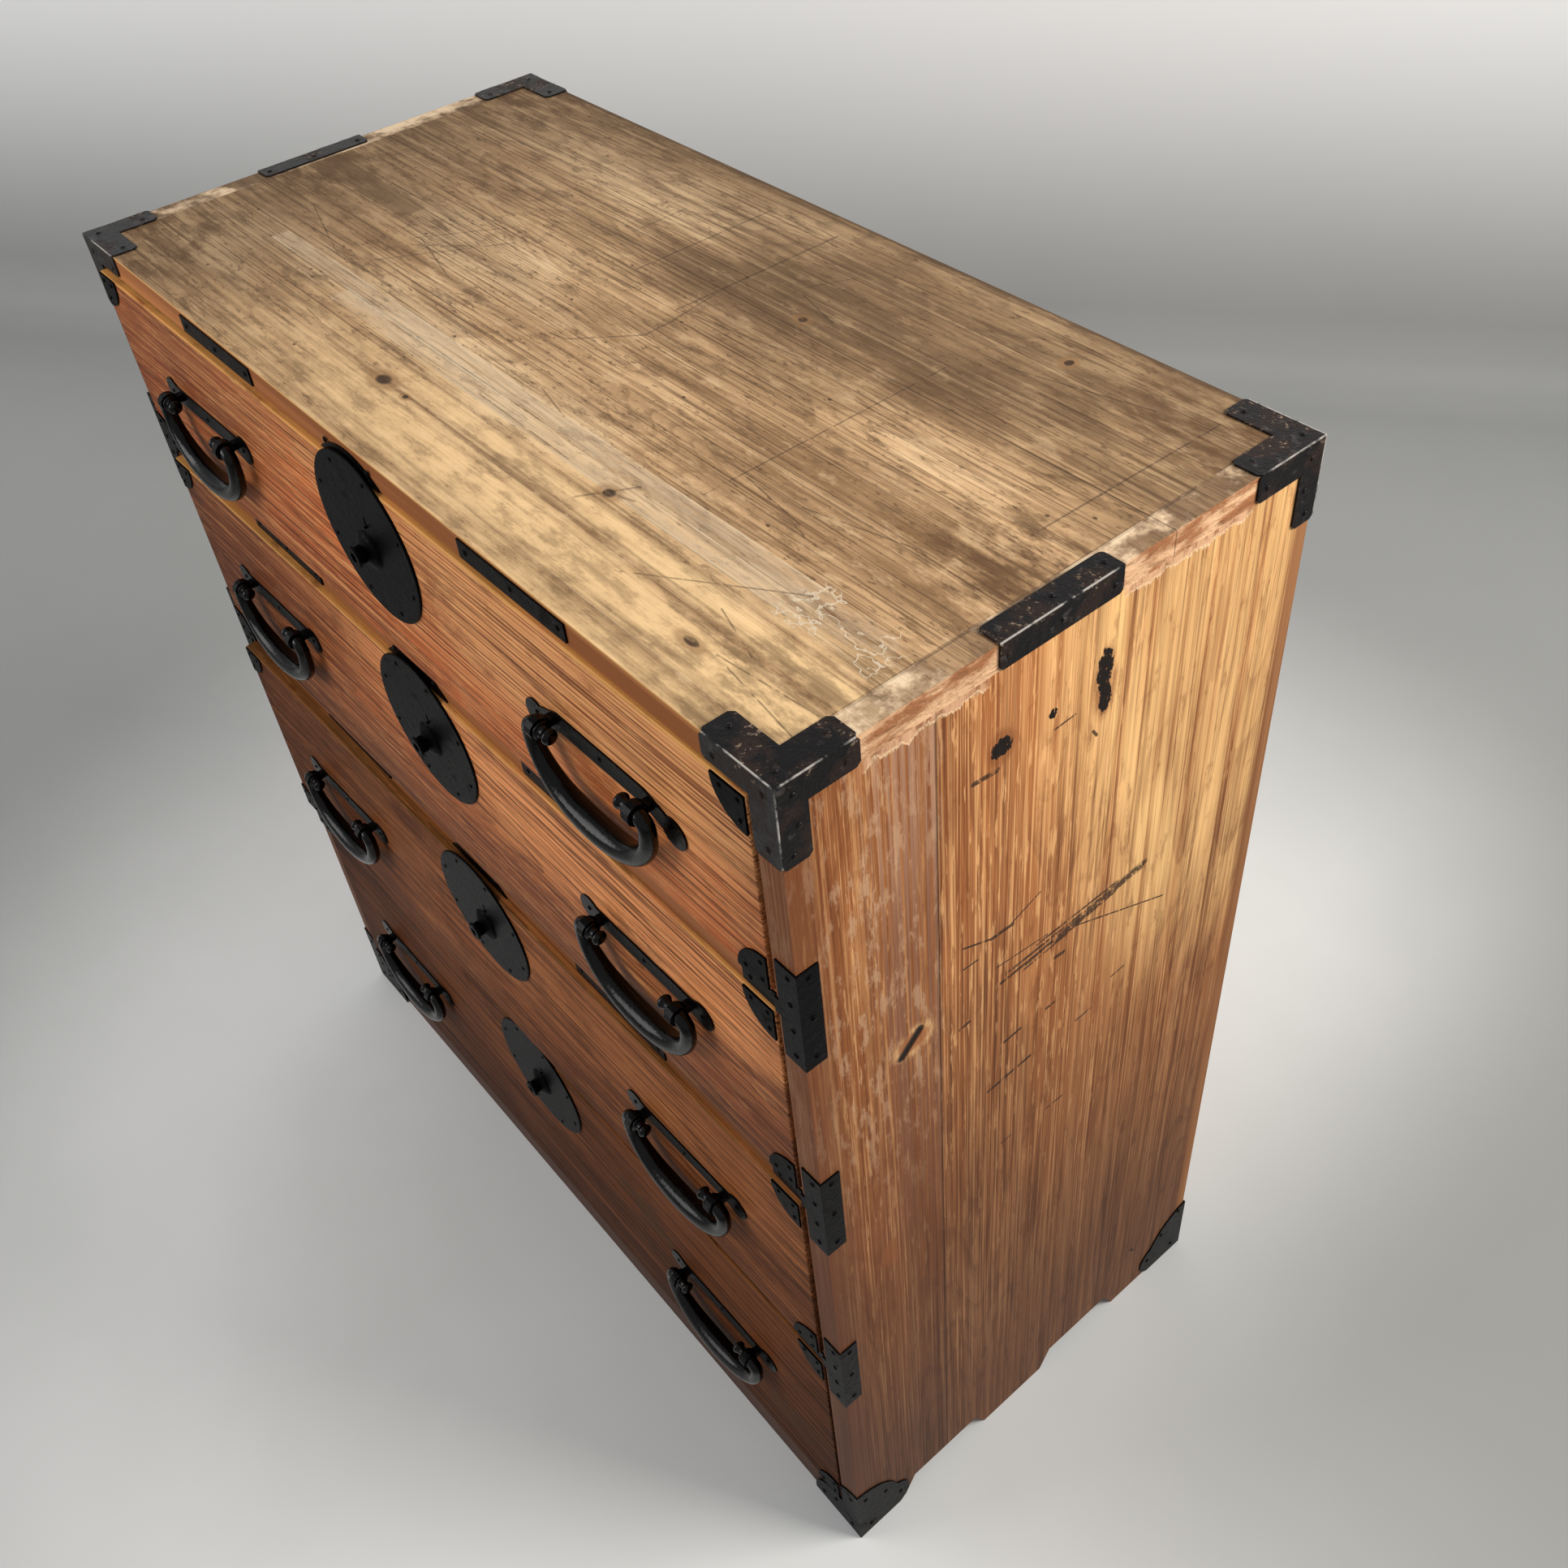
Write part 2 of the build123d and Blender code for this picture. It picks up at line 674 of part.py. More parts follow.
def make_lock(drawer):
    """Make the round lock plate with its key tube, the case behind the front, and the bolt."""
    plane = front_plane(drawer, 0, lock_levels[drawer])
    tube_plane = front_plane(drawer, 0, lock_levels[drawer] - key_tube_drop, lock_plate_thick)
    with BuildPart() as plate:
        with BuildSketch(plane):
            Circle(lock_plate_radius)
        extrude(amount=lock_plate_thick)
        chamfer(plate.edges().filter_by(GeomType.CIRCLE).sort_by(Axis.Y)[0], length=lock_plate_thick / 3)
        with BuildSketch(Plane(origin=tube_plane.origin, x_dir=tube_plane.x_dir, z_dir=tube_plane.y_dir)):
            with BuildLine():
                Polyline(*key_tube_profile, close=True)
            make_face()
        revolve(axis=Axis(tube_plane.origin, tube_plane.z_dir))
        with BuildSketch(plane):
            slot_patch(pin_slot_width, pin_slot_height)
            with Locations((0, -key_tube_drop)):
                Circle(key_bore_radius)
        extrude(amount=lock_plate_thick + key_tube_length, mode=Mode.SUBTRACT)
    save(plate.part, f"drawer_{drawer + 1}_lock_plate")
    with BuildPart() as lock_case:
        rear = front_plane(drawer, 0, lock_levels[drawer], -front_thick)
        with BuildSketch(rear):
            Rectangle(lock_case_width, lock_case_height)
        extrude(amount=lock_case_depth)
        with BuildSketch(rear.offset(lock_sheet)):
            Rectangle(lock_case_width - 2 * lock_sheet, lock_case_height - 2 * lock_sheet)
        extrude(amount=lock_case_depth, mode=Mode.SUBTRACT)
        with BuildSketch(rear.offset(lock_sheet)):
            for guide_sign in (-1, 1):
                guide_x = bolt_x + guide_sign * (bolt_width / 2 + bolt_gap + lock_sheet / 2)
                with Locations((guide_x, lock_case_height / 4)):
                    Rectangle(lock_sheet, lock_case_height / 2)
            with Locations((bolt_x, lock_case_height / 4)):
                Rectangle(bolt_width / 2, lock_case_height / 2)
        extrude(amount=notch_start - lock_sheet)
        with BuildSketch(rear.offset(notch_start)):
            with Locations((bolt_x, lock_case_height / 2)):
                Rectangle(bolt_width + 2 * bolt_gap, 2 * lock_sheet)
        extrude(amount=lock_case_depth - notch_start, mode=Mode.SUBTRACT)
    save(lock_case.part, f"drawer_{drawer + 1}_lock_case")
    with BuildPart() as bolt:
        bolt_plane = front_plane(drawer, bolt_x, lock_levels[drawer], -bolt_inset)
        with BuildSketch(bolt_plane):
            with Locations((0, (bolt_low + bolt_high) / 2)):
                Rectangle(bolt_width, bolt_high - bolt_low)
        extrude(amount=-bolt_thick)
        with BuildSketch(bolt_plane):
            with Locations((0, pin_rise)):
                Circle(pin_radius)
        extrude(amount=bolt_inset + lock_plate_thick + pin_proud)
    save(bolt.part, f"drawer_{drawer + 1}_lock_bolt")


def plain_plate():
    """Draw the lobed handle plate about the middle of its two eyes."""
    lobe_x = plate_length / 2 - plate_lobe_radius
    with BuildSketch() as outline:
        Rectangle(2 * lobe_x, plate_waist)
        with Locations((-lobe_x, 0), (lobe_x, 0)):
            Circle(plate_lobe_radius)
        inner = outline.vertices().filter_by(lambda v: abs(v.X) < lobe_x)
        fillet(inner, radius=plate_blend)
    return outline.sketch


def bent_plate():
    """Draw the handle plate whose two lobes droop below its straight middle."""
    arm = (bent_plate_length - bent_plate_straight) / 2 - plate_lobe_radius
    with BuildSketch() as outline:
        Rectangle(bent_plate_straight, plate_waist)
        for arm_sign in (-1, 1):
            droop = -arm_sign * bent_plate_droop
            with Locations(Location((arm_sign * bent_plate_straight / 2, 0, 0), (0, 0, droop))):
                with Locations((arm_sign * arm / 2, 0)):
                    Rectangle(arm, plate_waist)
                with Locations((0, 0)):
                    Circle(plate_waist / 2)
                with Locations((arm_sign * arm, 0)):
                    Circle(plate_lobe_radius)
    return outline.sketch


straight_outline = plain_plate()
bent_outline = bent_plate()


def make_handle_mounts(drawer):
    """Make the plates and the clinched eyes of a drawer's two handles."""
    with BuildPart() as plates:
        for handle_sign in (-1, 1):
            bent = drawer == 0 and handle_sign == 1
            with BuildSketch(front_plane(drawer, handle_sign * handle_x, handle_levels[drawer])):
                add(bent_outline if bent else straight_outline)
                with Locations(*eye_places):
                    Rectangle(eye_width, eye_shank, mode=Mode.SUBTRACT)
            extrude(amount=plate_thick)
    shank_length = axis_standoff + front_thick + clinch_thick
    with BuildPart() as eyes:
        for handle_sign in (-1, 1):
            plane = front_plane(drawer, handle_sign * handle_x, handle_levels[drawer])
            for place, _ in eye_places:
                start = plane.from_local_coords(Vector(place - eye_width / 2, 0, axis_standoff))
                with BuildSketch(Plane(origin=start, x_dir=plane.z_dir, z_dir=plane.x_dir)):
                    RegularPolygon(eye_outer_radius, eye_flat_count)
                    with Locations((-shank_length / 2, 0)):
                        Rectangle(shank_length, eye_shank)
                    with Locations((clinch_thick / 2 - shank_length, 0)):
                        Rectangle(clinch_thick, clinch_length)
                    Circle(eye_inner_radius, mode=Mode.SUBTRACT)
                extrude(amount=eye_width)
    save(Compound(children=plates.solids() + eyes.solids()), f"drawer_{drawer + 1}_handle_mounts")


def make_bail(drawer, handle_sign, name):
    """Make a forged bail of twelve flats: thick in the belly, with beaded ends turned in through the eyes."""
    plane = front_plane(drawer, handle_sign * handle_x, handle_levels[drawer], axis_standoff)
    with BuildLine(plane):
        bend = JernArc((bend_x, 0), (1, 0), bail_bend_radius, -90)
        side = JernArc(bend @ 1, bend % 1, bail_side_radius, -bail_side_turn)
        belly = JernArc(side @ 1, side % 1, bail_belly_curve, bail_side_turn - 90)
    total = bend.length + side.length + belly.length
    stations = [(bend @ 0, bend % 0, bail_bar_radius)]
    done = 0
    for arc, spans in ((bend, 2), (side, 3), (belly, 2)):
        for step in range(spans):
            reach = (step + 1) / spans
            along = (done + arc.length * reach) / total
            swell = along * along * (3 - 2 * along)
            radius = bail_bar_radius + (bail_belly_radius - bail_bar_radius) * swell
            stations.append((arc @ reach, arc % reach, radius))
        done += arc.length

    def across(x):
        """Return the plane that cuts the bail's straight end at x."""
        return Plane(origin=plane.from_local_coords(Vector(x, 0, 0)), x_dir=plane.z_dir, z_dir=plane.x_dir)

    with BuildPart() as bail:
        for place, direction, radius in stations:
            with BuildSketch(Plane(origin=place, x_dir=plane.z_dir, z_dir=direction)):
                RegularPolygon(radius, bail_flat_count)
        loft(ruled=True)
        with BuildSketch(across(collar_x)):
            Circle(bail_pin_radius)
        extrude(amount=bend_x - collar_x)
        with BuildSketch(across(collar_x)):
            RegularPolygon(bail_collar_radius, bail_flat_count)
        extrude(amount=-bail_collar_width)
        with BuildSketch(across(bead_x)):
            RegularPolygon(bail_bead_radius, bail_flat_count)
        extrude(amount=bail_bead_rise, both=True, taper=bead_taper)
        with BuildSketch(across(bead_x)):
            RegularPolygon(bail_neck_radius, bail_flat_count)
        extrude(amount=collar_x - bead_x)
        mirror(about=Plane(origin=plane.origin, z_dir=plane.x_dir))
    save(bail.part, name)


for drawer in drawer_ids:
    make_boards(drawer)
    make_corner_plates(drawer)
    make_lock(drawer)
    make_handle_mounts(drawer)
    make_bail(drawer, -1, f"drawer_{drawer + 1}_bail_left")
    make_bail(drawer, 1, f"drawer_{drawer + 1}_bail_right")
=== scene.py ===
import json
import math
import random

import bmesh
import bpy
from mathutils import Matrix, Vector


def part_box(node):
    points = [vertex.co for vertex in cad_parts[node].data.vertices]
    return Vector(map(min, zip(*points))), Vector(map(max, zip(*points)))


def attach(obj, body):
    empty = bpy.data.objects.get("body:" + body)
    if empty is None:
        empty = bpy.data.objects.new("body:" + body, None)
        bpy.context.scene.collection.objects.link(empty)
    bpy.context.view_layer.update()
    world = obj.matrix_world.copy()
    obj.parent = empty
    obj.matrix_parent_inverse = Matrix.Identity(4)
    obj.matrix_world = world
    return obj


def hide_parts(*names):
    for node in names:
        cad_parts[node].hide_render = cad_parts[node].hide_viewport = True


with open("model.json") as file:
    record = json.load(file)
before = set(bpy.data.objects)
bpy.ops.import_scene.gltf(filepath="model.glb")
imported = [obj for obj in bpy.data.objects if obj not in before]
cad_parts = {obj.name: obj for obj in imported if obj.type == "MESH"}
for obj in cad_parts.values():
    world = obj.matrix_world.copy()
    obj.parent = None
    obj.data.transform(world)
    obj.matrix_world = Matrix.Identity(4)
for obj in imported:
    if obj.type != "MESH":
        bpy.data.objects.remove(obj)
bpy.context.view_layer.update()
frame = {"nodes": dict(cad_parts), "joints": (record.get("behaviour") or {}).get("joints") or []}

# Side boards. Each side is three softwood boards glued edge to edge and planed flush. The outer face
# has a thin oil finish that has worn with handling: it is dark towards the front, pale where it was
# rubbed, and marked by knots, a loose knot's hole and the scrapes of other furniture. It darkens towards
# the foot, partly from dirt and partly as painted shade, and a painted highlight lies on its upper rear
# corner.

mm = 0.001
screen_gamma = 2.2


def paint(red, green, blue):
    """Turn a screen colour from 0 to 255 into the linear colour that a shader takes."""
    return tuple((part / 255) ** screen_gamma for part in (red, green, blue)) + (1.0,)


class Field:
    """A value that varies over a surface, so that shader maths can be written as an expression."""

    def __init__(self, finish, socket):
        self.finish = finish
        self.socket = socket

    def __add__(self, other):
        return self.finish.maths("ADD", self, other)

    def __sub__(self, other):
        return self.finish.maths("SUBTRACT", self, other)

    def __rsub__(self, other):
        return self.finish.maths("SUBTRACT", other, self)

    def __mul__(self, other):
        return self.finish.maths("MULTIPLY", self, other)

    def __truediv__(self, other):
        return self.finish.maths("DIVIDE", self, other)

    def __pow__(self, power):
        return self.finish.maths("POWER", self, power)

    def __mod__(self, step):
        return self.finish.maths("FLOORED_MODULO", self, step)

    def __abs__(self):
        return self.finish.maths("ABSOLUTE", self)

    def __or__(self, other):
        return self.finish.maths("MAXIMUM", self, other)

    __radd__ = __add__
    __rmul__ = __mul__

    def within(self, low, high):
        """Return 0 at low and 1 at high, with a smooth change between; low may be the greater."""
        return self.finish.node(
            "ShaderNodeMapRange",
            {"interpolation_type": "SMOOTHSTEP"},
            {"Value": self, "From Min": low, "From Max": high},
        )


class Finish:
    """A procedural material, which starts from a point's place on the resting object, in metres."""

    def __init__(self, name):
        self.material = bpy.data.materials.new(name)
        self.material.use_nodes = True
        self.tree = self.material.node_tree
        self.shader = self.tree.nodes["Principled BSDF"]
        self.place = self.node("ShaderNodeTexCoord", output="Object")
        self.x, self.y, self.z = (
            self.node("ShaderNodeSeparateXYZ", {}, {"Vector": self.place}, axis) for axis in "XYZ"
        )

    def node(self, kind, settings=None, sockets=None, output=0):
        """Add a node, set it up, feed its sockets, and return one output."""
        made = self.tree.nodes.new(kind)
        for name, value in (settings or {}).items():
            setattr(made, name, value)
        for name, value in (sockets or {}).items():
            self.feed(made.inputs[name], value)
        return Field(self, made.outputs[output])

    def feed(self, socket, value):
        """Link a field to a socket, or set the socket to a constant."""
        if isinstance(value, Field):
            self.tree.links.new(value.socket, socket)
        else:
            socket.default_value = value

    def maths(self, operation, first, second=0.0):
        return self.node("ShaderNodeMath", {"operation": operation}, {0: first, 1: second})

    def vector(self, operation, first, second, output=0):
        return self.node("ShaderNodeVectorMath", {"operation": operation}, {0: first, 1: second}, output)

    def noise(self, stretch, detail, roughness, seed):
        """Return cloudy noise with so many clouds to the metre along x, y and z, another for each seed."""
        shift = (7.3 * seed, 3.1 * seed, 5.7 * seed)
        where = self.node(
            "ShaderNodeVectorMath", {"operation": "MULTIPLY_ADD"}, {0: self.place, 1: stretch, 2: shift}
        )
        return self.node(
            "ShaderNodeTexNoise", {}, {"Vector": where, "Scale": 1, "Detail": detail, "Roughness": roughness}
        )

    def mix(self, below, above, mask):
        """Lay one colour over another where the mask is 1."""
        return self.node("ShaderNodeMix", {"data_type": "RGBA"}, {0: mask, 6: below, 7: above}, 2)

    def lay(self, colour, *layers):
        """Lay colours over a first one in turn. Each layer is a colour and its mask."""
        for above, mask in layers:
            colour = self.mix(colour, above, mask)
        return colour

    def stroke(self, start, end, width):
        """Return 1 on a straight mark between two places, fading to 0 at its edges."""
        core = 0.35 * width
        way = Vector(end) - Vector(start)
        from_start = self.vector("SUBTRACT", self.place, start)
        reach = self.vector("DOT_PRODUCT", from_start, way / way.length_squared, 1)
        reach = self.node("ShaderNodeClamp", {}, {"Value": reach})
        nearest = self.node("ShaderNodeVectorMath", {"operation": "SCALE"}, {0: way, "Scale": reach})
        return self.vector("DISTANCE", from_start, nearest, 1).within(width, core)

    def spot(self, centre, radii):
        """Return 1 inside an oval spot, fading to 0 at its edge."""
        core, edge = 0.55, 1.0
        from_centre = self.vector("SUBTRACT", self.place, centre)
        scaled = self.vector("DIVIDE", from_centre, radii)
        return self.node("ShaderNodeVectorMath", {"operation": "LENGTH"}, {0: scaled}, 1).within(edge, core)

    def coat(self, names, colour, roughness, height=None, sheen=0.25):
        """Set the shader, with a relief in metres, and put the material on CAD nodes."""
        self.feed(self.shader.inputs["Base Color"], colour)
        self.feed(self.shader.inputs["Roughness"], roughness)
        self.feed(self.shader.inputs["Specular IOR Level"], sheen)
        if height is not None:
            normal = self.node("ShaderNodeBump", {}, {"Height": height, "Distance": 1.0})
            self.feed(self.shader.inputs["Normal"], normal)
        for name in names:
            for slot in frame["nodes"][name].material_slots:
                slot.material = self.material
        return self.material


def along_grain(axis, long, wide):
    """Return noise stretches for wood whose grain runs along x, y or z."""
    return tuple(long if name == axis else wide for name in "xyz")


def year_lines(finish, along, across, depth, gap, lean, stretch, seed):
    """Return the dark lines of a sawn board: 0 in early wood, rising to 1 where a year's growth ends."""
    waver = (finish.noise(stretch, detail=3, roughness=0.55, seed=seed) - 0.5) * (3.0 * gap)
    radius = (across * across + depth * depth) ** 0.5
    growth = ((radius + along * lean + waver) / gap) % 1.0
    return growth ** 3


def flame_lines(finish, stretch, count, seed):
    """Return the wavy lines of a board sawn flat: 0 between them, rising to 1 on each line."""
    layer = (finish.noise(stretch, detail=2, roughness=0.45, seed=seed) * count) % 1.0
    return layer.within(0.55, 0.92) * layer.within(1.0, 0.95)


def all_marks(places, draw):
    """Draw the same kind of mark at several places and return them as one mask."""
    masks = [draw(*place) for place in places]
    whole = masks[0]
    for mask in masks[1:]:
        whole = whole | mask
    return whole


side = Finish("side_wood")
right_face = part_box("right_side")[1].x
front_seam = -0.113
rear_seam = 0.075
seam_blur = 0.2 * mm
board_two = side.y.within(front_seam - seam_blur, front_seam + seam_blur)
board_three = side.y.within(rear_seam - seam_blur, rear_seam + seam_blur)
# The tree's heart in the front, middle and rear board, as y
front_heart, middle_heart, rear_heart = -0.165, -0.020, 0.145
heart_y = front_heart + board_two * (middle_heart - front_heart) + board_three * (rear_heart - middle_heart)
side_lines = year_lines(
    side,
    along=side.z + board_two * 0.31 + board_three * 0.17,
    across=side.y - heart_y,
    depth=abs(side.x) - 0.435,
    gap=8.5 * mm,
    lean=-0.05,
    stretch=along_grain("z", 2.2, 14),
    seed=1,
)
side_fine = side.noise(along_grain("z", 5, 560), detail=2, roughness=0.6, seed=2)
side_thread = side.noise(along_grain("z", 1.7, 230), detail=2, roughness=0.6, seed=8)
side_streak = side.noise(along_grain("z", 1.0, 85), detail=3, roughness=0.55, seed=3)
side_band = side.noise(along_grain("z", 0.6, 18), detail=3, roughness=0.55, seed=7)
side_cloud = side.noise(along_grain("z", 2.4, 9), detail=4, roughness=0.6, seed=4)
side_grime = side.noise(along_grain("z", 26, 90), detail=6, roughness=0.7, seed=5)
side_flake = side.noise(along_grain("z", 24, 250), detail=3, roughness=0.6, seed=9)
side_flame = flame_lines(side, along_grain("z", 1.3, 7.5), count=26, seed=29)

# The colour darkens from the upper rear corner down to the foot, unevenly, along the grain: partly a
# dirtier finish low down and partly painted shade, where the light falls off downward
side_lit_and_clean = (side.z + (side_band - 0.5) * 0.55).within(0.05, 0.97)
side_dark = side.mix(paint(64, 38, 24), paint(126, 72, 38), side_lit_and_clean)
side_mid = side.mix(paint(106, 68, 42), paint(184, 114, 64), side_lit_and_clean)
side_pale = side.mix(paint(134, 90, 60), paint(255, 194, 130), side_lit_and_clean)
# Painted highlight: a pool of pale light on the side's upper rear corner, broken up along the grain
side_highlight_spread = side_streak.within(0.78, 0.42) * (0.8 + side_cloud.within(0.62, 0.42) * 0.2)
side_highlight = side.spot((right_face, 0.185, 0.97), (1.0, 0.24, 0.50)) * side_highlight_spread
side_patch = (0.30 + side_cloud.within(0.35, 0.62) * 0.70) * (1 - side_highlight * 0.65)
side_colour = side.lay(
    side_mid,
    (side_pale, side_streak.within(0.58, 0.24) * 0.5),
    (paint(255, 206, 137), side_highlight),
    (side_dark, side_streak.within(0.48, 0.80) * 0.4),
    (side_dark, side_band.within(0.48, 0.68) * (1 - side_highlight * 0.5) * 0.42),
    (side_dark, side_lines * side_patch * 0.5),
    (side_dark, side_flame * side_patch * 0.55),
    (side_dark, side_thread.within(0.50, 0.68) * side_patch * 0.62),
    (side_pale, side_thread.within(0.46, 0.30) * 0.35),
    (paint(66, 36, 21), side_fine.within(0.51, 0.67) * side_patch * 0.85),
    (side_pale, side_fine.within(0.47, 0.33) * 0.55),
    (side_dark, side_grime.within(0.54, 0.68) * 0.5),
    (side_pale, side_flake.within(0.42, 0.34) * (0.15 + side_lit_and_clean * 0.4)),
    (side_dark, side_cloud.within(0.48, 0.70) * (1 - side_highlight * 0.7) * 0.5),
)

# The front board has lost its oil in grey streaks and pale rubs; hands and dust have darkened its edges
grey_streak = side.y.within(-0.176, -0.158) * side.y.within(-0.108, -0.116) * side.z.within(0.35, 0.8)
grey_tone = side.mix(paint(138, 106, 88), paint(206, 166, 138), side.z.within(0.78, 0.95))
pale_rub = side_grime.within(0.49, 0.40) * side.y.within(-0.10, -0.13) * side.z.within(0.45, 0.75)
front_dirt = side.y.within(-0.185, -0.222)
handled_band = side.y.within(-0.108, -0.122) * (0.45 + side_cloud.within(0.35, 0.6) * 0.55)
rear_dirt = (side.y + (side_cloud - 0.5) * 0.03).within(0.200, 0.228)
open_seam = abs(side.y - front_seam).within(1.2 * mm, 0.4 * mm)
side_colour = side.lay(
    side_colour,
    (grey_tone, grey_streak * side_thread.within(0.44, 0.55) * 0.62),
    (paint(222, 182, 144), pale_rub * 0.6),
    (paint(98, 58, 38), front_dirt * 0.7),
    (side_dark, handled_band * 0.45),
    (paint(112, 66, 42), rear_dirt * 0.75),
    (paint(66, 38, 24), open_seam * 0.5),
)

# Scrapes on the right side. Each runs from one place to another, given as y and z, and has a width.
scrape_lines = (
    ((-0.055, 0.691), (0.020, 0.694), 0.0024),
    ((-0.050, 0.697), (0.044, 0.700), 0.0022),
    ((-0.020, 0.703), (0.062, 0.705), 0.0018),
    ((0.010, 0.694), (0.070, 0.699), 0.0042),
    ((0.050, 0.699), (0.090, 0.702), 0.0058),
    ((0.000, 0.690), (0.060, 0.696), 0.0034),
    ((-0.030, 0.691), (0.030, 0.697), 0.0030),
    ((-0.034, 0.686), (0.010, 0.689), 0.0016),
    ((0.017, 0.692), (0.120, 0.644), 0.0011),
    ((-0.060, 0.712), (-0.010, 0.706), 0.0009),
    ((-0.092, 0.759), (-0.065, 0.747), 0.0013),
    ((-0.065, 0.747), (-0.046, 0.746), 0.0026),
    ((-0.046, 0.748), (-0.020, 0.758), 0.0011),
    ((-0.092, 0.737), (-0.078, 0.736), 0.0011),
    ((-0.094, 0.674), (-0.086, 0.675), 0.0024),
    ((0.000, 0.672), (0.008, 0.671), 0.0028),
    ((-0.050, 0.618), (-0.034, 0.619), 0.0022),
    ((-0.007, 0.618), (0.006, 0.618), 0.0019),
    ((0.066, 0.592), (0.080, 0.593), 0.0013),
    ((-0.066, 0.571), (-0.040, 0.573), 0.0022),
    ((-0.034, 0.573), (-0.022, 0.574), 0.0022),
    ((0.028, 0.571), (0.044, 0.572), 0.0016),
    ((-0.050, 0.485), (-0.040, 0.486), 0.0012),
    ((0.001, 0.481), (0.021, 0.481), 0.0014),
    ((-0.083, 0.904), (-0.063, 0.902), 0.0030),
    ((-0.014, 0.903), (0.004, 0.904), 0.0012),
    ((0.022, 0.878), (0.026, 0.872), 0.0016),
    ((0.143, 0.082), (0.148, 0.074), 0.0022),
)
broken = side.noise((60, 190, 150), detail=3, roughness=0.7, seed=6).within(0.34, 0.5)
scrape = broken * all_marks(
    scrape_lines,
    lambda start, end, width: side.stroke((right_face, *start), (right_face, *end), width),
)

# Knots and the holes that fell out of them, each with its y, its z and its half width and height
knot_places = ((-0.166, 0.461, 0.013, 0.024), (-0.060, 0.919, 0.015, 0.019), (0.030, 0.914, 0.014, 0.036))
hole_places = (
    (-0.060, 0.919, 0.0075, 0.0062),
    (-0.016, 0.918, 0.0030, 0.0034),
    (0.029, 0.925, 0.0058, 0.0150),
    (0.031, 0.902, 0.0048, 0.0110),
)
knot_ring = all_marks(
    knot_places, lambda y, z, wide, high: side.spot((right_face, y, z), (1, wide, high))
)
fray = 1.5
hole = all_marks(
    hole_places, lambda y, z, wide, high: side.spot((right_face, y, z), (1, wide * fray, high * fray))
)
ragged = side.noise((260, 420, 210), detail=3, roughness=0.7, seed=12)
hole = (hole + (ragged - 0.5) * 3.0).within(0.45, 0.62) * hole.within(0.0, 0.2)
torn_knot = (right_face, -0.137, 0.702)
knot_rim = side.spot(torn_knot, (1, 0.024, 0.019)) * side_grime.within(0.62, 0.4)
knot_bed = side.spot(torn_knot, (1, 0.017, 0.012))
knot_slash = side.stroke((right_face, -0.148, 0.693), (right_face, -0.132, 0.709), 0.0052)

# The upper edge is torn between the irons, by the middle's y and half the length of each tear
torn_places = ((-0.1185, 0.050), (0.101, 0.062))
torn_level = side.z + side_grime * 0.022
torn_edge = all_marks(torn_places, lambda y, half: abs(side.y - y).within(half, half - 8 * mm))
torn_edge = torn_edge * torn_level.within(0.9835, 0.9860)
torn_colour = side.mix(paint(150, 102, 74), paint(216, 168, 130), side_grime.within(0.40, 0.56))
torn_lip = torn_edge * (1 - torn_level.within(0.9850, 0.9868))
side_colour = side.lay(
    side_colour,
    (paint(44, 30, 24), scrape * 0.88),
    (paint(136, 80, 44), knot_ring * side_grime.within(0.3, 0.55) * 0.8),
    (paint(28, 18, 13), hole),
    (paint(222, 174, 120), knot_rim * 0.75),
    (paint(150, 88, 50), knot_bed * 0.8),
    (paint(34, 20, 14), knot_slash),
    (torn_colour, torn_edge * 0.9),
    (paint(248, 216, 170), torn_lip * 0.8),
)
side_relief = (
    side_fine * (0.4 * mm)
    - side_lines * (0.2 * mm)
    + side_streak * (0.4 * mm)
    - scrape * (0.5 * mm)
    - hole * (2.5 * mm)
    - knot_slash * (3 * mm)
    - open_seam * (0.8 * mm)
    - torn_edge * (0.6 * mm)
)
side_gloss = 0.46 + side_fine * 0.2 + side_streak * 0.15
side.coat(("left_side", "right_side"), side_colour, side_gloss, side_relief)

# Top board. One wide plank and a narrower one behind it lie on the sides. It has lost its finish and
# gone grey-brown, with dark stains, pale bands where tape was pulled off, and torn ends at the irons.

top = Finish("top_wood")
top_low, top_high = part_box("top_board")
top_face = top_high.z
front_plane = top_low.y
wide_lines = year_lines(
    top,
    along=top.x,
    across=top.y + 0.31,
    depth=top.z - 0.94,
    gap=11.5 * mm,
    lean=0.012,
    stretch=along_grain("x", 1.9, 9),
    seed=11,
)
knot_lines = year_lines(
    top,
    along=top.x,
    across=top.y + 0.186,
    depth=top.z - 0.988,
    gap=6.8 * mm,
    lean=-0.055,
    stretch=along_grain("x", 2.4, 16),
    seed=12,
)
knot_strip = top.y.within(-0.128, -0.146)
top_lines = wide_lines * (1 - knot_strip) + knot_lines * knot_strip
top_fine = top.noise(along_grain("x", 6, 520), detail=2, roughness=0.6, seed=13)
top_thread = top.noise(along_grain("x", 1.8, 210), detail=2, roughness=0.6, seed=26)
top_streak = top.noise(along_grain("x", 0.9, 62), detail=3, roughness=0.55, seed=14)
top_band = top.noise(along_grain("x", 0.8, 13), detail=4, roughness=0.6, seed=15)
top_cloud = top.noise((2.6, 9, 5.0), detail=5, roughness=0.62, seed=16)
top_stain = top.noise((22, 60, 9), detail=6, roughness=0.72, seed=17)
top_speck = top.noise((110, 360, 60), detail=3, roughness=0.6, seed=27)
top_flame = flame_lines(top, along_grain("x", 1.8, 12), count=24, seed=30)
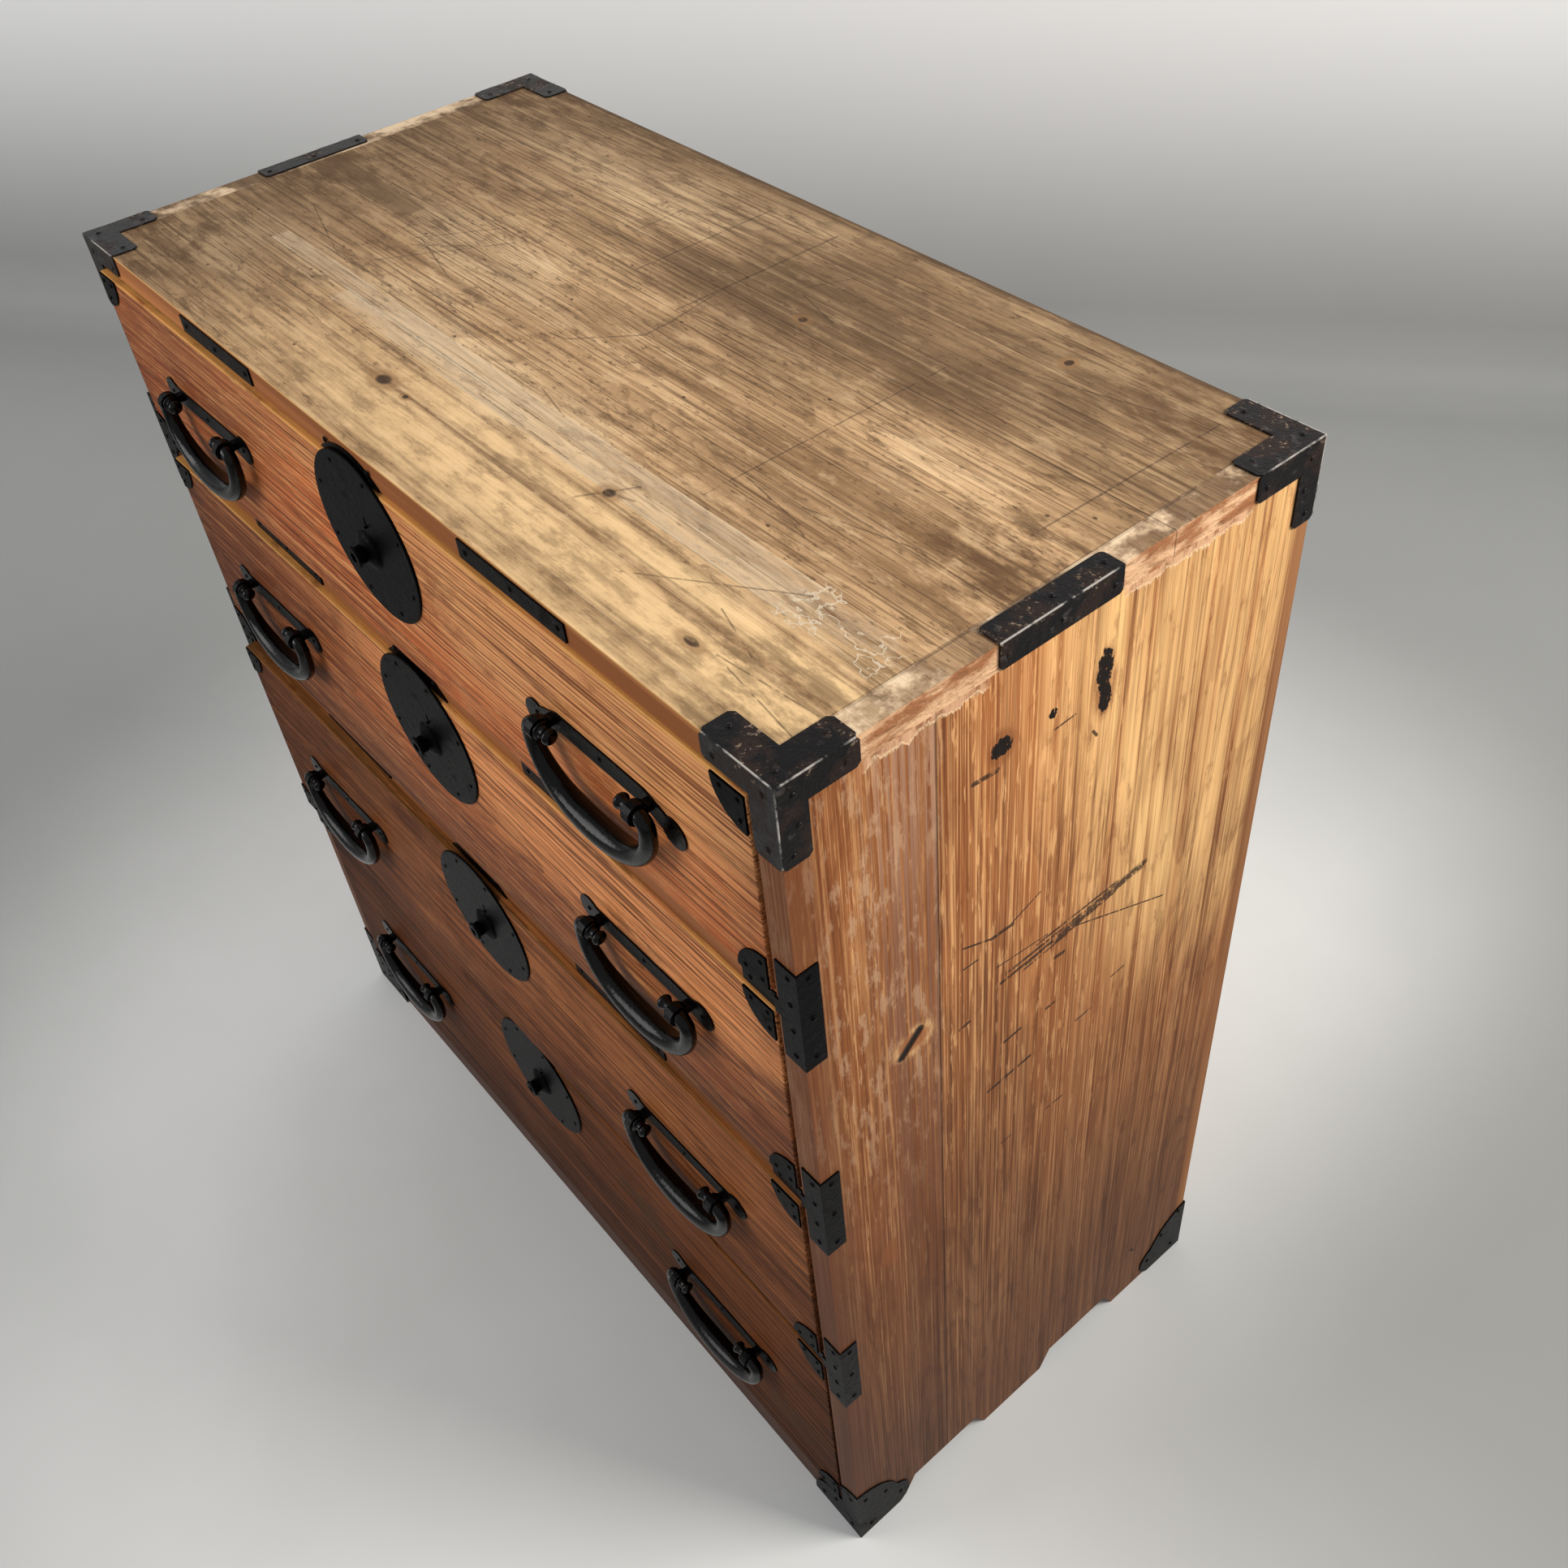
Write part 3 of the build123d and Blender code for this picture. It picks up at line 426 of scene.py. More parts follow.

# The bare wood is greyest at the rear and on the left, and a golden painted highlight lies along the front
rear_wear = (top.y + (top_cloud - 0.5) * 0.4).within(-0.02, 0.21)
left_wear = (top.x + (top_cloud - 0.5) * 0.5).within(-0.12, -0.40)
top_wear = (rear_wear * 0.9) | (left_wear * 0.85)
top_dark = top.mix(paint(112, 80, 50), paint(82, 62, 42), top_wear)
top_mid = top.mix(paint(204, 164, 120), paint(134, 106, 75), top_wear)
top_pale = top.mix(paint(236, 200, 154), paint(170, 140, 104), top_wear)
iron_grime = all_marks(
    tuple((x, y) for x in (-0.42, 0.42) for y in (-0.19, 0.19)) + ((0.44, -0.014), (-0.44, -0.014)),
    lambda x, y: top.spot((x, y, top_face), (0.11, 0.07, 1)),
)
dark_patch = top.x.within(-0.277, -0.281) * abs(top.y + 0.009).within(0.0135, 0.0105)
# Painted highlight: a golden pool of light along the front right of the top, broken up by streaks and stains
top_front_highlight = top.y.within(-0.11, -0.15) * top.x.within(-0.32, 0.1)
top_highlight_spread = top_streak.within(0.70, 0.45) * (0.5 + top_stain.within(0.60, 0.44) * 0.5)
top_colour = top.lay(
    top_mid,
    (top_pale, top_cloud.within(0.50, 0.36) * 0.8),
    (top_dark, top_cloud.within(0.48, 0.66) * 0.6),
    (top_dark, top_band.within(0.50, 0.64) * 0.55),
    (top_dark, top_streak.within(0.52, 0.78) * 0.5),
    (top_pale, top_streak.within(0.44, 0.28) * 0.4),
    (top_dark, top_lines * top_band.within(0.35, 0.55) * 0.45),
    (top_dark, top_flame * 0.35),
    (top_dark, top_thread.within(0.50, 0.68) * 0.42),
    (top_pale, top_thread.within(0.44, 0.30) * 0.3),
    (paint(76, 54, 35), top_fine.within(0.50, 0.66) * 0.6),
    (paint(94, 70, 46), top_stain.within(0.52, 0.66) * 0.6),
    (top_pale, top_stain.within(0.45, 0.34) * 0.35),
    (paint(84, 60, 40), top_speck.within(0.57, 0.67) * top_stain.within(0.38, 0.54) * 0.7),
    (paint(92, 66, 42), iron_grime * top_stain.within(0.42, 0.60) * 0.75),
    (paint(100, 76, 52), dark_patch * 0.55),
    (paint(248, 208, 152), top_front_highlight * top_highlight_spread * 0.75),
)

# Pale bands where two strips of tape were pulled off, broken up towards the right end, with dried glue
tape_places = ((-0.107, -0.332), (-0.1235, -0.198))
tape = all_marks(
    tape_places,
    lambda y, start: abs(top.y - y).within(7.8 * mm, 7.2 * mm) * top.x.within(start - 2 * mm, start + 4 * mm),
)
tape_rim = all_marks(
    tape_places,
    lambda y, start: abs(abs(top.y - y) - 7.4 * mm).within(0.9 * mm, 0.3 * mm)
    * top.x.within(start, start + 3 * mm),
)
tape_break = top.noise((14, 130, 10), detail=5, roughness=0.7, seed=18)
tape_end = 1 - top.x.within(0.35, 0.37) * tape_break.within(0.46, 0.52)
tape = tape * tape_end * top.x.within(0.43, 0.42)
glue = top.noise((34, 46, 10), detail=3, roughness=0.6, seed=28)
glue_line = abs(glue - 0.5).within(0.016, 0.006) * top.x.within(0.340, 0.352) * top.x.within(0.434, 0.428)
glue_line = glue_line * abs(top.y + 0.115).within(0.022, 0.018)
top_colour = top.lay(
    top_colour,
    (paint(208, 182, 150), tape * (0.3 + tape_break.within(0.36, 0.60) * 0.7) * 0.55),
    (paint(222, 204, 172), tape_rim * tape_end * tape_break.within(0.40, 0.55) * 0.45),
    (paint(222, 206, 180), glue_line * 0.6),
)

# Knife lines and scratches, given as x and y of both ends and a width, and the seam of the two planks
knife_lines = (
    ((0.021, 0.200), (0.021, 0.040), 0.0016),
    ((0.021, 0.090), (0.032, 0.030), 0.0010),
    ((0.032, 0.030), (0.034, 0.003), 0.0012),
    ((0.034, 0.003), (-0.004, -0.040), 0.0012),
    ((-0.004, -0.040), (-0.021, -0.044), 0.0010),
    ((-0.054, 0.200), (-0.054, 0.060), 0.0014),
    ((-0.110, 0.150), (-0.109, 0.095), 0.0009),
    ((0.226, 0.120), (0.226, -0.090), 0.0010),
    ((0.405, 0.190), (0.402, 0.020), 0.0012),
    ((0.168, -0.150), (0.190, -0.114), 0.0014),
    ((0.181, -0.132), (0.200, -0.126), 0.0016),
    ((-0.441, -0.16), (-0.441, 0.16), 0.0012),
    ((0.439, -0.17), (0.439, 0.17), 0.0018),
)
scratch_count = 22
scratch_width = 0.8 * mm
top_random = random.Random(4)
scratch_lines = []
for _ in range(scratch_count):
    start = (top_random.uniform(-0.38, 0.40), top_random.uniform(-0.19, 0.17))
    angle = top_random.uniform(-0.35, 0.35) + top_random.choice((0, 0, 0.9))
    length = top_random.uniform(0.02, 0.12)
    end = (start[0] + length * math.cos(angle), start[1] + length * math.sin(angle))
    scratch_lines.append((start, end, scratch_width))
cut = top.noise((70, 70, 70), detail=3, roughness=0.7, seed=19).within(0.32, 0.5) * all_marks(
    knife_lines + tuple(scratch_lines),
    lambda start, end, width: top.stroke((*start, top_face), (*end, top_face), width),
)
top_seam = abs(top.y - 0.084).within(1.4 * mm, 0.4 * mm)

# Knots of the top, each with its x, its y and half its length and width, and small nail holes
top_knots = (
    (-0.054, -0.164, 0.024, 0.013),
    (-0.021, -0.165, 0.008, 0.005),
    (0.181, -0.132, 0.016, 0.010),
    (0.102, 0.096, 0.012, 0.008),
    (0.283, 0.182, 0.010, 0.010),
    (0.336, -0.184, 0.020, 0.007),
)
knot_halo = all_marks(top_knots, lambda x, y, long, wide: top.spot((x, y, top_face), (long, wide, 1)))
knot_heart = all_marks(
    top_knots, lambda x, y, long, wide: top.spot((x, y, top_face), (long * 0.4, wide * 0.5, 1))
)
hole_count = 16
top_holes = all_marks(
    tuple((top_random.uniform(-0.42, 0.42), top_random.uniform(-0.2, 0.2)) for _ in range(hole_count)),
    lambda x, y: top.spot((x, y, top_face), (2.2 * mm, 1.6 * mm, 1)),
)

# End grain, the oiled front edge, the pale rims beside the irons and the dusty rear rim
end_face = abs(top.x).within(right_face - 0.4 * mm, right_face - 0.1 * mm)
end_grain = top.noise((60, 60, 300), detail=3, roughness=0.6, seed=20)
end_tear = top.noise((30, 26, 70), detail=5, roughness=0.65, seed=21)
end_colour = top.lay(
    paint(158, 104, 68),
    (paint(224, 178, 136), end_tear.within(0.40, 0.60)),
    (paint(112, 74, 46), end_grain.within(0.54, 0.7) * 0.45),
)
front_edge = top.y.within(front_plane + 0.3 * mm, front_plane + 0.1 * mm)
edge_colour = top.lay(
    paint(150, 88, 46),
    (paint(204, 132, 76), top_streak.within(0.35, 0.65)),
    (paint(240, 190, 120), top.z.within(top_face - 2.2 * mm, top_face - 0.6 * mm) * 0.7),
)
worn_rim = abs(top.x).within(right_face - 21.5 * mm, right_face - 20 * mm)
worn_rim = worn_rim * (0.5 + end_tear.within(0.4, 0.6)) * (1 - end_face)
rim_colour = top.lay(
    paint(104, 82, 64),
    (paint(206, 176, 142), end_tear.within(0.44, 0.60)),
    (paint(240, 214, 178), end_tear.within(0.56, 0.64) * 0.6),
)
rear_rim = (top.y + end_tear * 0.012).within(top_high.y + 1.5 * mm, top_high.y + 3.5 * mm)
top_colour = top.lay(
    top_colour,
    (paint(70, 50, 36), (cut * 0.75 | top_seam * 0.6) * 0.62),
    (paint(136, 98, 62), knot_halo * 0.55),
    (paint(56, 40, 29), knot_heart * top_stain.within(0.3, 0.5) * 0.9),
    (paint(60, 44, 32), top_holes * 0.8),
    (end_colour, end_face),
    (edge_colour, front_edge),
    (rim_colour, worn_rim * 0.7),
    (paint(84, 64, 46), rear_rim * 0.7),
)
top_relief = (
    top_fine * (0.4 * mm)
    - top_lines * (0.2 * mm)
    - cut * (0.5 * mm)
    - top_seam * (0.8 * mm)
    + tape * (0.2 * mm)
    - knot_heart * mm
    - end_face * end_tear * (3 * mm)
)
top_gloss = 0.52 + top_fine * 0.2 + top_cloud * 0.15
top.coat(("top_board",), top_colour, top_gloss, top_relief)

# Plain boards that stay out of sight: the back, the bottom, the dust shelves, the cleats, the stops, and
# the sides, backs and bottoms of the drawers. They are of the same softwood, sawn and left bare, and have
# only darkened with age.

drawer_ids = (1, 2, 3, 4)


def plain_wood(name, node_names, grain, pale, dark, seed, board_width=None, board_start=0.0):
    """Finish bare sawn boards whose grain runs along one axis; where they stand in a row, tint each."""
    wood = Finish(name)
    fine = wood.noise(along_grain(grain, 5, 420), detail=2, roughness=0.6, seed=seed)
    thread = wood.noise(along_grain(grain, 1.6, 150), detail=2, roughness=0.6, seed=seed + 3)
    streak = wood.noise(along_grain(grain, 0.9, 40), detail=3, roughness=0.6, seed=seed + 1)
    cloud = wood.noise((2.2, 2.2, 1.4), detail=5, roughness=0.65, seed=seed + 2)
    colour = wood.lay(
        pale,
        (dark, cloud.within(0.40, 0.66) * 0.5),
        (dark, streak.within(0.48, 0.70) * 0.55),
        (dark, thread.within(0.50, 0.68) * 0.6),
        (paint(84, 56, 36), fine.within(0.52, 0.72) * 0.45),
    )
    height = fine * (0.4 * mm) + streak * (0.3 * mm)
    if board_width:
        board = (wood.x - board_start) / board_width
        tint = wood.maths("SINE", wood.maths("FLOOR", board) * 2.4) * 0.5 + 0.5
        gap_outside = 0.5 - 1.6 * mm / board_width
        gap_inside = 0.5 - 0.6 * mm / board_width
        inner_joint = abs(wood.x).within(-board_start - 5 * mm, -board_start - 6 * mm)
        joint = abs(board % 1.0 - 0.5).within(gap_outside, gap_inside) * inner_joint
        colour = wood.lay(colour, (dark, tint * 0.5), (paint(42, 28, 20), joint * 0.9))
        height = height - joint * (0.8 * mm)
    wood.coat(node_names, colour, 0.65 + fine * 0.25, height)


def drawer_parts(*parts):
    """Return the names of the same pieces of all four drawers."""
    return tuple(f"drawer_{drawer}_{part}" for drawer in drawer_ids for part in parts)


back_low, back_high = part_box("back_boards")
back_board_count = 3
plain_wood(
    "back_wood",
    ("back_boards",),
    grain="z",
    pale=paint(176, 124, 82),
    dark=paint(116, 72, 44),
    seed=21,
    board_width=(back_high.x - back_low.x) / back_board_count,
    board_start=back_low.x,
)
plain_wood(
    "inner_wood_wide",
    ("bottom_board", "shelves") + drawer_parts("back", "bottom"),
    grain="x",
    pale=paint(202, 168, 124),
    dark=paint(164, 126, 86),
    seed=31,
)
plain_wood(
    "inner_wood_deep",
    ("runners", "drawer_stops") + drawer_parts("sides"),
    grain="y",
    pale=paint(198, 162, 118),
    dark=paint(158, 120, 82),
    seed=41,
)

# Rails and base rail. They stand between the drawers with their ends housed in the sides. Their front
# faces have the same oil finish as the drawer fronts and are rubbed pale where the drawers pass.

rail_wood = Finish("rail_wood")
rail_fine = rail_wood.noise(along_grain("x", 7, 300), detail=3, roughness=0.6, seed=51)
rail_streak = rail_wood.noise(along_grain("x", 1.5, 60), detail=3, roughness=0.6, seed=52)
rail_height = rail_wood.z.within(0.02, 0.85)
rail_colour = rail_wood.lay(
    paint(74, 46, 32),
    (paint(156, 94, 52), rail_height),
    (paint(52, 32, 22), rail_streak.within(0.45, 0.7) * 0.6),
    (paint(206, 134, 72), rail_streak.within(0.42, 0.3) * rail_height * 0.6),
    (paint(40, 26, 18), rail_fine.within(0.55, 0.75) * 0.4),
)
rail_wood.coat(("rails", "base_rail"), rail_colour, 0.45 + rail_fine * 0.25, rail_fine * (0.4 * mm))

# Drawer fronts. Each is one plank with its grain across the chest. The top one has faded to orange
# under the light and each one below it is darker, down to the lowest, which is nearly black. This
# darkening is partly soot and darker wood, and partly painted shade where the light falls off towards the
# floor.

# base, pale and dark are the wood's colours; pith and deep place the tree's heart, above the floor and
# behind the face; gap and lean set its year lines; the rest are strengths from 0 to 1
# The lower drawers' darker colours are partly painted shade; left_shade and foot_shade paint shade on the
# left and towards the foot, and right_glow is a painted highlight on the right
front_looks = {
    1: {
        "base": (252, 140, 76), "pale": (255, 178, 114), "dark": (124, 62, 32),
        "pith": 1.15, "deep": 0.05, "gap": 0.0040, "lean": 0.012,
        "left_shade": 0.65, "right_glow": 0.9, "foot_shade": 0.25,
        "flakes": 0.55, "edge_wear": 0.75, "mould": 0.0, "sheen": 0.15,
    },
    2: {
        "base": (216, 122, 68), "pale": (255, 166, 104), "dark": (88, 46, 26),
        "pith": 0.686, "deep": 0.03, "gap": 0.0064, "lean": 0.085,
        "left_shade": 0.85, "right_glow": 0.8, "foot_shade": 0.7,
        "flakes": 0.5, "edge_wear": 0.60, "mould": 0.0, "sheen": 0.13,
    },
    3: {
        "base": (148, 84, 45), "pale": (188, 118, 70), "dark": (72, 38, 18),
        "pith": 0.30, "deep": 0.05, "gap": 0.0044, "lean": -0.010,
        "left_shade": 0.65, "right_glow": 0.5, "foot_shade": 0.4,
        "flakes": 0.4, "edge_wear": 0.10, "mould": 0.0, "sheen": 0.08,
    },
    4: {
        "base": (102, 56, 30), "pale": (138, 83, 48), "dark": (44, 24, 13),
        "pith": 0.17, "deep": 0.04, "gap": 0.0060, "lean": 0.06,
        "left_shade": 0.30, "right_glow": 0.3, "foot_shade": 0.45,
        "flakes": 0.2, "edge_wear": 0.05, "mould": 0.3, "sheen": 0.05,
    },
}


def toned(colour, share):
    """Return a screen colour made darker or lighter by a share, as a shader takes it."""
    return paint(*(min(255, part * share) for part in colour))


for drawer, look in front_looks.items():
    name = f"drawer_{drawer}_front"
    low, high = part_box(name)
    wood = Finish(f"front_wood_{drawer}")
    lines = year_lines(
        wood,
        along=wood.x,
        across=wood.z - look["pith"],
        depth=wood.y - front_plane + look["deep"],
        gap=look["gap"],
        lean=look["lean"],
        stretch=along_grain("x", 1.6, 11),
        seed=60 + drawer,
    )
    fine = wood.noise(along_grain("x", 6, 520), detail=2, roughness=0.6, seed=70 + drawer)
    thread = wood.noise(along_grain("x", 1.8, 240), detail=2, roughness=0.6, seed=75 + drawer)
    streak = wood.noise(along_grain("x", 0.9, 60), detail=3, roughness=0.55, seed=80 + drawer)
    cloud = wood.noise((3.2, 5, 7), detail=5, roughness=0.65, seed=90 + drawer)
    grime = wood.noise((12, 26, 22), detail=6, roughness=0.7, seed=100 + drawer)
    flake = wood.noise(along_grain("x", 24, 430), detail=3, roughness=0.6, seed=105 + drawer)
    height = high.z - low.z
    # Painted light: glow is a painted highlight on the right of the front, and shade is painted shade on the
    # left and towards the foot
    glow = wood.x.within(-0.06, 0.12) * wood.z.within(low.z + height * 0.2, low.z + height * 0.7)
    foot = wood.z.within(low.z + height * 0.75, low.z + height * 0.05)
    shade = wood.x.within(0.05, -0.34) * look["left_shade"] | foot * look["foot_shade"]
    dark = paint(*look["dark"])
    pale = wood.mix(paint(*look["pale"]), dark, shade * 0.7)
    mould = grime.within(0.52, 0.66) * wood.x.within(-0.1, 0.25)
    handled = abs(wood.x).within(0.36, 0.44) * 0.35 + wood.z.within(low.z + 0.03, low.z) * 0.35
    worn_edge = wood.z.within(high.z - 3.2 * mm, high.z - 1.0 * mm) * grime.within(0.3, 0.5)
    colour = wood.lay(
        paint(*look["base"]),
        (pale, cloud.within(0.50, 0.36) * 0.7),
        (dark, cloud.within(0.52, 0.68) * 0.45),
        (pale, glow * look["right_glow"]),
        (dark, shade),
        (dark, streak.within(0.50, 0.74) * 0.5),
        (pale, streak.within(0.46, 0.26) * 0.45),
        (dark, lines * (0.35 + cloud.within(0.4, 0.6) * 0.4)),
        (dark, thread.within(0.51, 0.66) * 0.75),
        (pale, thread.within(0.45, 0.32) * 0.5),
        (toned(look["dark"], 0.7), fine.within(0.50, 0.64) * 0.7),
        (dark, grime.within(0.52, 0.66) * 0.5),
        (toned(look["pale"], 1.08), flake.within(0.43, 0.36) * (1 - shade * 0.7) * look["flakes"]),
        (paint(84, 68, 52), mould * look["mould"]),
        (toned(look["dark"], 0.6), handled * grime.within(0.25, 0.6)),
        (paint(246, 178, 96), worn_edge * look["edge_wear"]),
    )
    gloss = 0.4 + fine * 0.25 + cloud * 0.1
    wood.coat((name,), colour, gloss, fine * (0.4 * mm) - lines * (0.2 * mm), look["sheen"])

# Iron mounts. They are sheet iron cut with shears, blacked with lacquer and nailed on. Where hands and
# the floor have worn them the lacquer is thin, and brown rust has pitted the corner irons and straps.


def iron_finish(
    name, node_names, black, rust, rust_share, roughness, seed, shine, smears, uneven=1.0, lit_and_worn_corner=None
):
    """Finish forged or sheet iron: black lacquer, with rust where the share lets it through.

    Where the irons stand at a case corner, its place makes their arrises bright: partly worn bare by hands,
    partly a painted highlight.
    """
    iron = Finish(name)
    pits = iron.noise((420, 420, 420), detail=3, roughness=0.65, seed=seed)
    patch = iron.noise((38, 38, 38), detail=5, roughness=0.7, seed=seed + 1)
    smear = iron.noise((110, 110, 110), detail=4, roughness=0.65, seed=seed + 2)
    rusted = patch.within(0.66 - 0.3 * rust_share, 0.74 - 0.2 * rust_share)
    colour = iron.lay(
        black,
        (rust, rusted * (0.3 + rust_share * 0.5)),
        (paint(88, 82, 80), smear.within(0.58, 0.70) * smears),
        (paint(10, 9, 9), pits.within(0.54, 0.68) * 0.6),
    )
    if lit_and_worn_corner:
        places = (iron.x, iron.y, iron.z)
        on_side, on_front, on_top = (
            abs(place).within(face - 1.2 * mm, face - 0.4 * mm) for place, face in zip(places, lit_and_worn_corner)
        )
        # The arrises are painted bright: partly worn bare, partly a painted highlight along the edges
        arris_wear_and_highlight = on_side * on_front | on_side * on_top | on_front * on_top
        upper = iron.z.within(lit_and_worn_corner.z - 9.5 * mm, lit_and_worn_corner.z - 3.5 * mm)
        fleck = iron.noise((300, 300, 300), detail=3, roughness=0.6, seed=seed + 3).within(0.58, 0.66)
        colour = iron.lay(
            colour,
            (paint(150, 128, 108), fleck * patch.within(0.45, 0.60) * upper * 0.7),
            (paint(186, 180, 172), arris_wear_and_highlight * patch.within(0.40, 0.56) * 0.85),
        )
    height = (pits * (0.3 * mm) + smear * (0.5 * mm) - rusted * (0.1 * mm)) * uneven
    gloss = roughness + rusted * 0.2 + (pits - 0.5) * 0.2
    return iron.coat(node_names, colour, gloss, height, shine)


irons_low, irons_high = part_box("top_corner_irons")
brown_iron = iron_finish(
    "brown_iron",
    ("top_corner_irons", "edge_straps"),
    black=paint(20, 18, 19),
    rust=paint(52, 38, 32),
    rust_share=0.7,
    roughness=0.36,
    seed=110,
    shine=0.20,
    smears=0.4,
    lit_and_worn_corner=irons_high,
)
black_iron = iron_finish(
    "black_iron",
    ("bottom_corner_irons", "rail_straps", "front_strips", "strike_plates"),
    black=paint(14, 13, 15),
    rust=paint(34, 28, 25),
    rust_share=0.3,
    roughness=0.40,
    seed=120,
    shine=0.06,
    smears=0.16,
)
lock_iron = iron_finish(
    "lock_iron",
    drawer_parts("corner_plates", "lock_plate", "lock_case"),
    black=paint(9, 9, 11),
    rust=paint(22, 19, 18),
    rust_share=0.2,
    roughness=0.40,
    seed=130,
    shine=0.04,
    smears=0.05,
)
iron_finish(
    "handle_iron",
    drawer_parts("handle_mounts", "lock_bolt"),
    black=paint(11, 10, 11),
    rust=paint(28, 24, 22),
    rust_share=0.2,
    roughness=0.30,
    seed=140,
    shine=0.10,
    smears=0.10,
)

# Nails. Every mount is held by small forged nails with domed heads. One mesh holds the heads of a
# group of mounts and rides with the board that they are driven into.

# The side of a nail head, as shares of its radius: how far out and how high each ring of points lies
dome_rings = ((1.0, -0.2), (1.0, 0.12), (0.86, 0.28), (0.55, 0.4))
dome_crown = 0.45
head_sides = 10
out_of_round = 0.06


def nail_heads(name, heads, body, finish):
    """Make domed nail heads: each has a place, an outward direction and a radius."""
    made = bmesh.new()
    jitter = random.Random(len(heads))
    for place, outward, radius in heads:
        turn = Vector(outward).to_track_quat("Z", "Y").to_matrix().to_4x4()
        wobble = Matrix.Rotation(jitter.uniform(0, math.tau), 4, "Z")
        seat = Matrix.Translation(Vector(place)) @ turn @ wobble
        rings = []
        for share, rise in dome_rings:
            ring = []
            for step in range(head_sides):
                angle = math.tau * step / head_sides
                reach = radius * share * (1 + out_of_round * math.sin(3 * angle))
                spot = Vector((reach * math.cos(angle), reach * math.sin(angle), radius * rise))
                ring.append(made.verts.new(seat @ spot))
            rings.append(ring)
        crown = made.verts.new(seat @ Vector((0, 0, radius * dome_crown)))
        for lower, upper in zip(rings, rings[1:]):
            for step in range(head_sides):
                after = (step + 1) % head_sides
                made.faces.new((lower[step], lower[after], upper[after], upper[step]))
        for step in range(head_sides):
            made.faces.new((rings[-1][step], rings[-1][(step + 1) % head_sides], crown))
        made.faces.new(tuple(reversed(rings[0])))
    mesh = bpy.data.meshes.new(name)
    made.to_mesh(mesh)
    made.free()
    mesh.shade_smooth()
    heads_object = bpy.data.objects.new(name, mesh)
    bpy.context.scene.collection.objects.link(heads_object)
    mesh.materials.append(finish)
    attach(heads_object, body)


# Nails of the corner irons and of the straps over the top's short edges, in mm in from the edges
top_level = irons_high.z
side_face = irons_high.x
front_face = irons_low.y
rear_face = irons_high.y
upward = (0, 0, 1)
forward = (0, -1, 0)
nail_radius = 2.2 * mm
front_leaf = 57
rear_leaf = 64
strap_middle = -13
strap_nail_gap = 44
heads = []
for side_sign in (-1, 1):
    edge_x = side_sign * side_face
    sideways = (side_sign, 0, 0)
    for face_y, back_sign, leaf in ((front_face, 1, front_leaf), (rear_face, -1, rear_leaf)):
        for inward, back in ((11, 10), (54, 14), (14, leaf - 9)):
            place = (edge_x - side_sign * inward * mm, face_y + back_sign * back * mm, top_level)
            heads.append((place, upward, nail_radius))
        for inward, down in ((12, 12), (54, 13), (12, 54)):
            place = (edge_x - side_sign * inward * mm, face_y, top_level - down * mm)
            heads.append((place, (0, -back_sign, 0), nail_radius))
        for back, down in ((12, 12), (leaf - 8, 13), (14, 36), (9, 56)):
            place = (edge_x, face_y + back_sign * back * mm, top_level - down * mm)
            heads.append((place, sideways, nail_radius))
    for along in (-strap_nail_gap, 0, strap_nail_gap):
        strap_y = (strap_middle + along) * mm
        heads.append(((edge_x - side_sign * 10 * mm, strap_y, top_level), upward, nail_radius))
        heads.append(((edge_x, strap_y, top_level - 12 * mm), sideways, nail_radius))
nail_heads("top_iron_nails", heads, "case", brown_iron)

# Nails of the straps, strips and strike plates on the stiles, rails and top edge, and of the feet
rail_tops = (0.8115, 0.587, 0.3385)
half_rail = 10 * mm
strip_thickness = 1.5 * mm
strip_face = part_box("rails")[0].y - strip_thickness
strap_end_x = 0.411
strip_middle_x = 0.213
top_strip_middle_x = 0.208
top_strip_level = 0.990
strip_nail_gap = 52 * mm
strike_nail_x = 30 * mm
heads = []
for rail_top in rail_tops:
    level = rail_top - half_rail
    for side_sign in (-1, 1):
        for up in (-38, -13, 13, 38):
            place = (side_sign * (side_face - 9 * mm), front_face, level + up * mm)
            heads.append((place, forward, nail_radius))
        for up in (-38, 0, 38):
            place = (side_sign * side_face, front_face + 10 * mm, level + up * mm)
            heads.append((place, (side_sign, 0, 0), nail_radius))
        heads.append(((side_sign * strap_end_x, strip_face, level), forward, nail_radius))
        for along in (-strip_nail_gap, 0, strip_nail_gap):
            heads.append(((side_sign * (strip_middle_x + along), strip_face, level), forward, nail_radius))
    for nail_x in (-strike_nail_x, strike_nail_x):
        heads.append(((nail_x, strip_face, level), forward, nail_radius))
for side_sign in (-1, 1):
    for along in (-strip_nail_gap, 0, strip_nail_gap):
        place = (side_sign * (top_strip_middle_x + along), front_face, top_strip_level)
        heads.append((place, forward, nail_radius))
    heads.append(((side_sign * strike_nail_x, front_face, top_strip_level), forward, nail_radius))
    for back_sign, face_y in ((1, front_face), (-1, rear_face)):
        for along, up in ((10, 72), (34, 52), (52, 22), (14, 12)):
            place = (side_sign * side_face, face_y + back_sign * along * mm, up * mm)
            heads.append((place, (side_sign, 0, 0), nail_radius))
    for along, up in ((10, 72), (34, 26), (52, 12), (12, 12)):
        place = (side_sign * (side_face - along * mm), front_face, up * mm)
        heads.append((place, forward, nail_radius))
nail_heads("rail_iron_nails", heads, "case", black_iron)

# Nails of the drawers' irons: round the rim of each lock plate, on the corner plates and handle plates
joints = {joint["name"]: joint for joint in frame["joints"]}
axis_standoff = 12.5 * mm


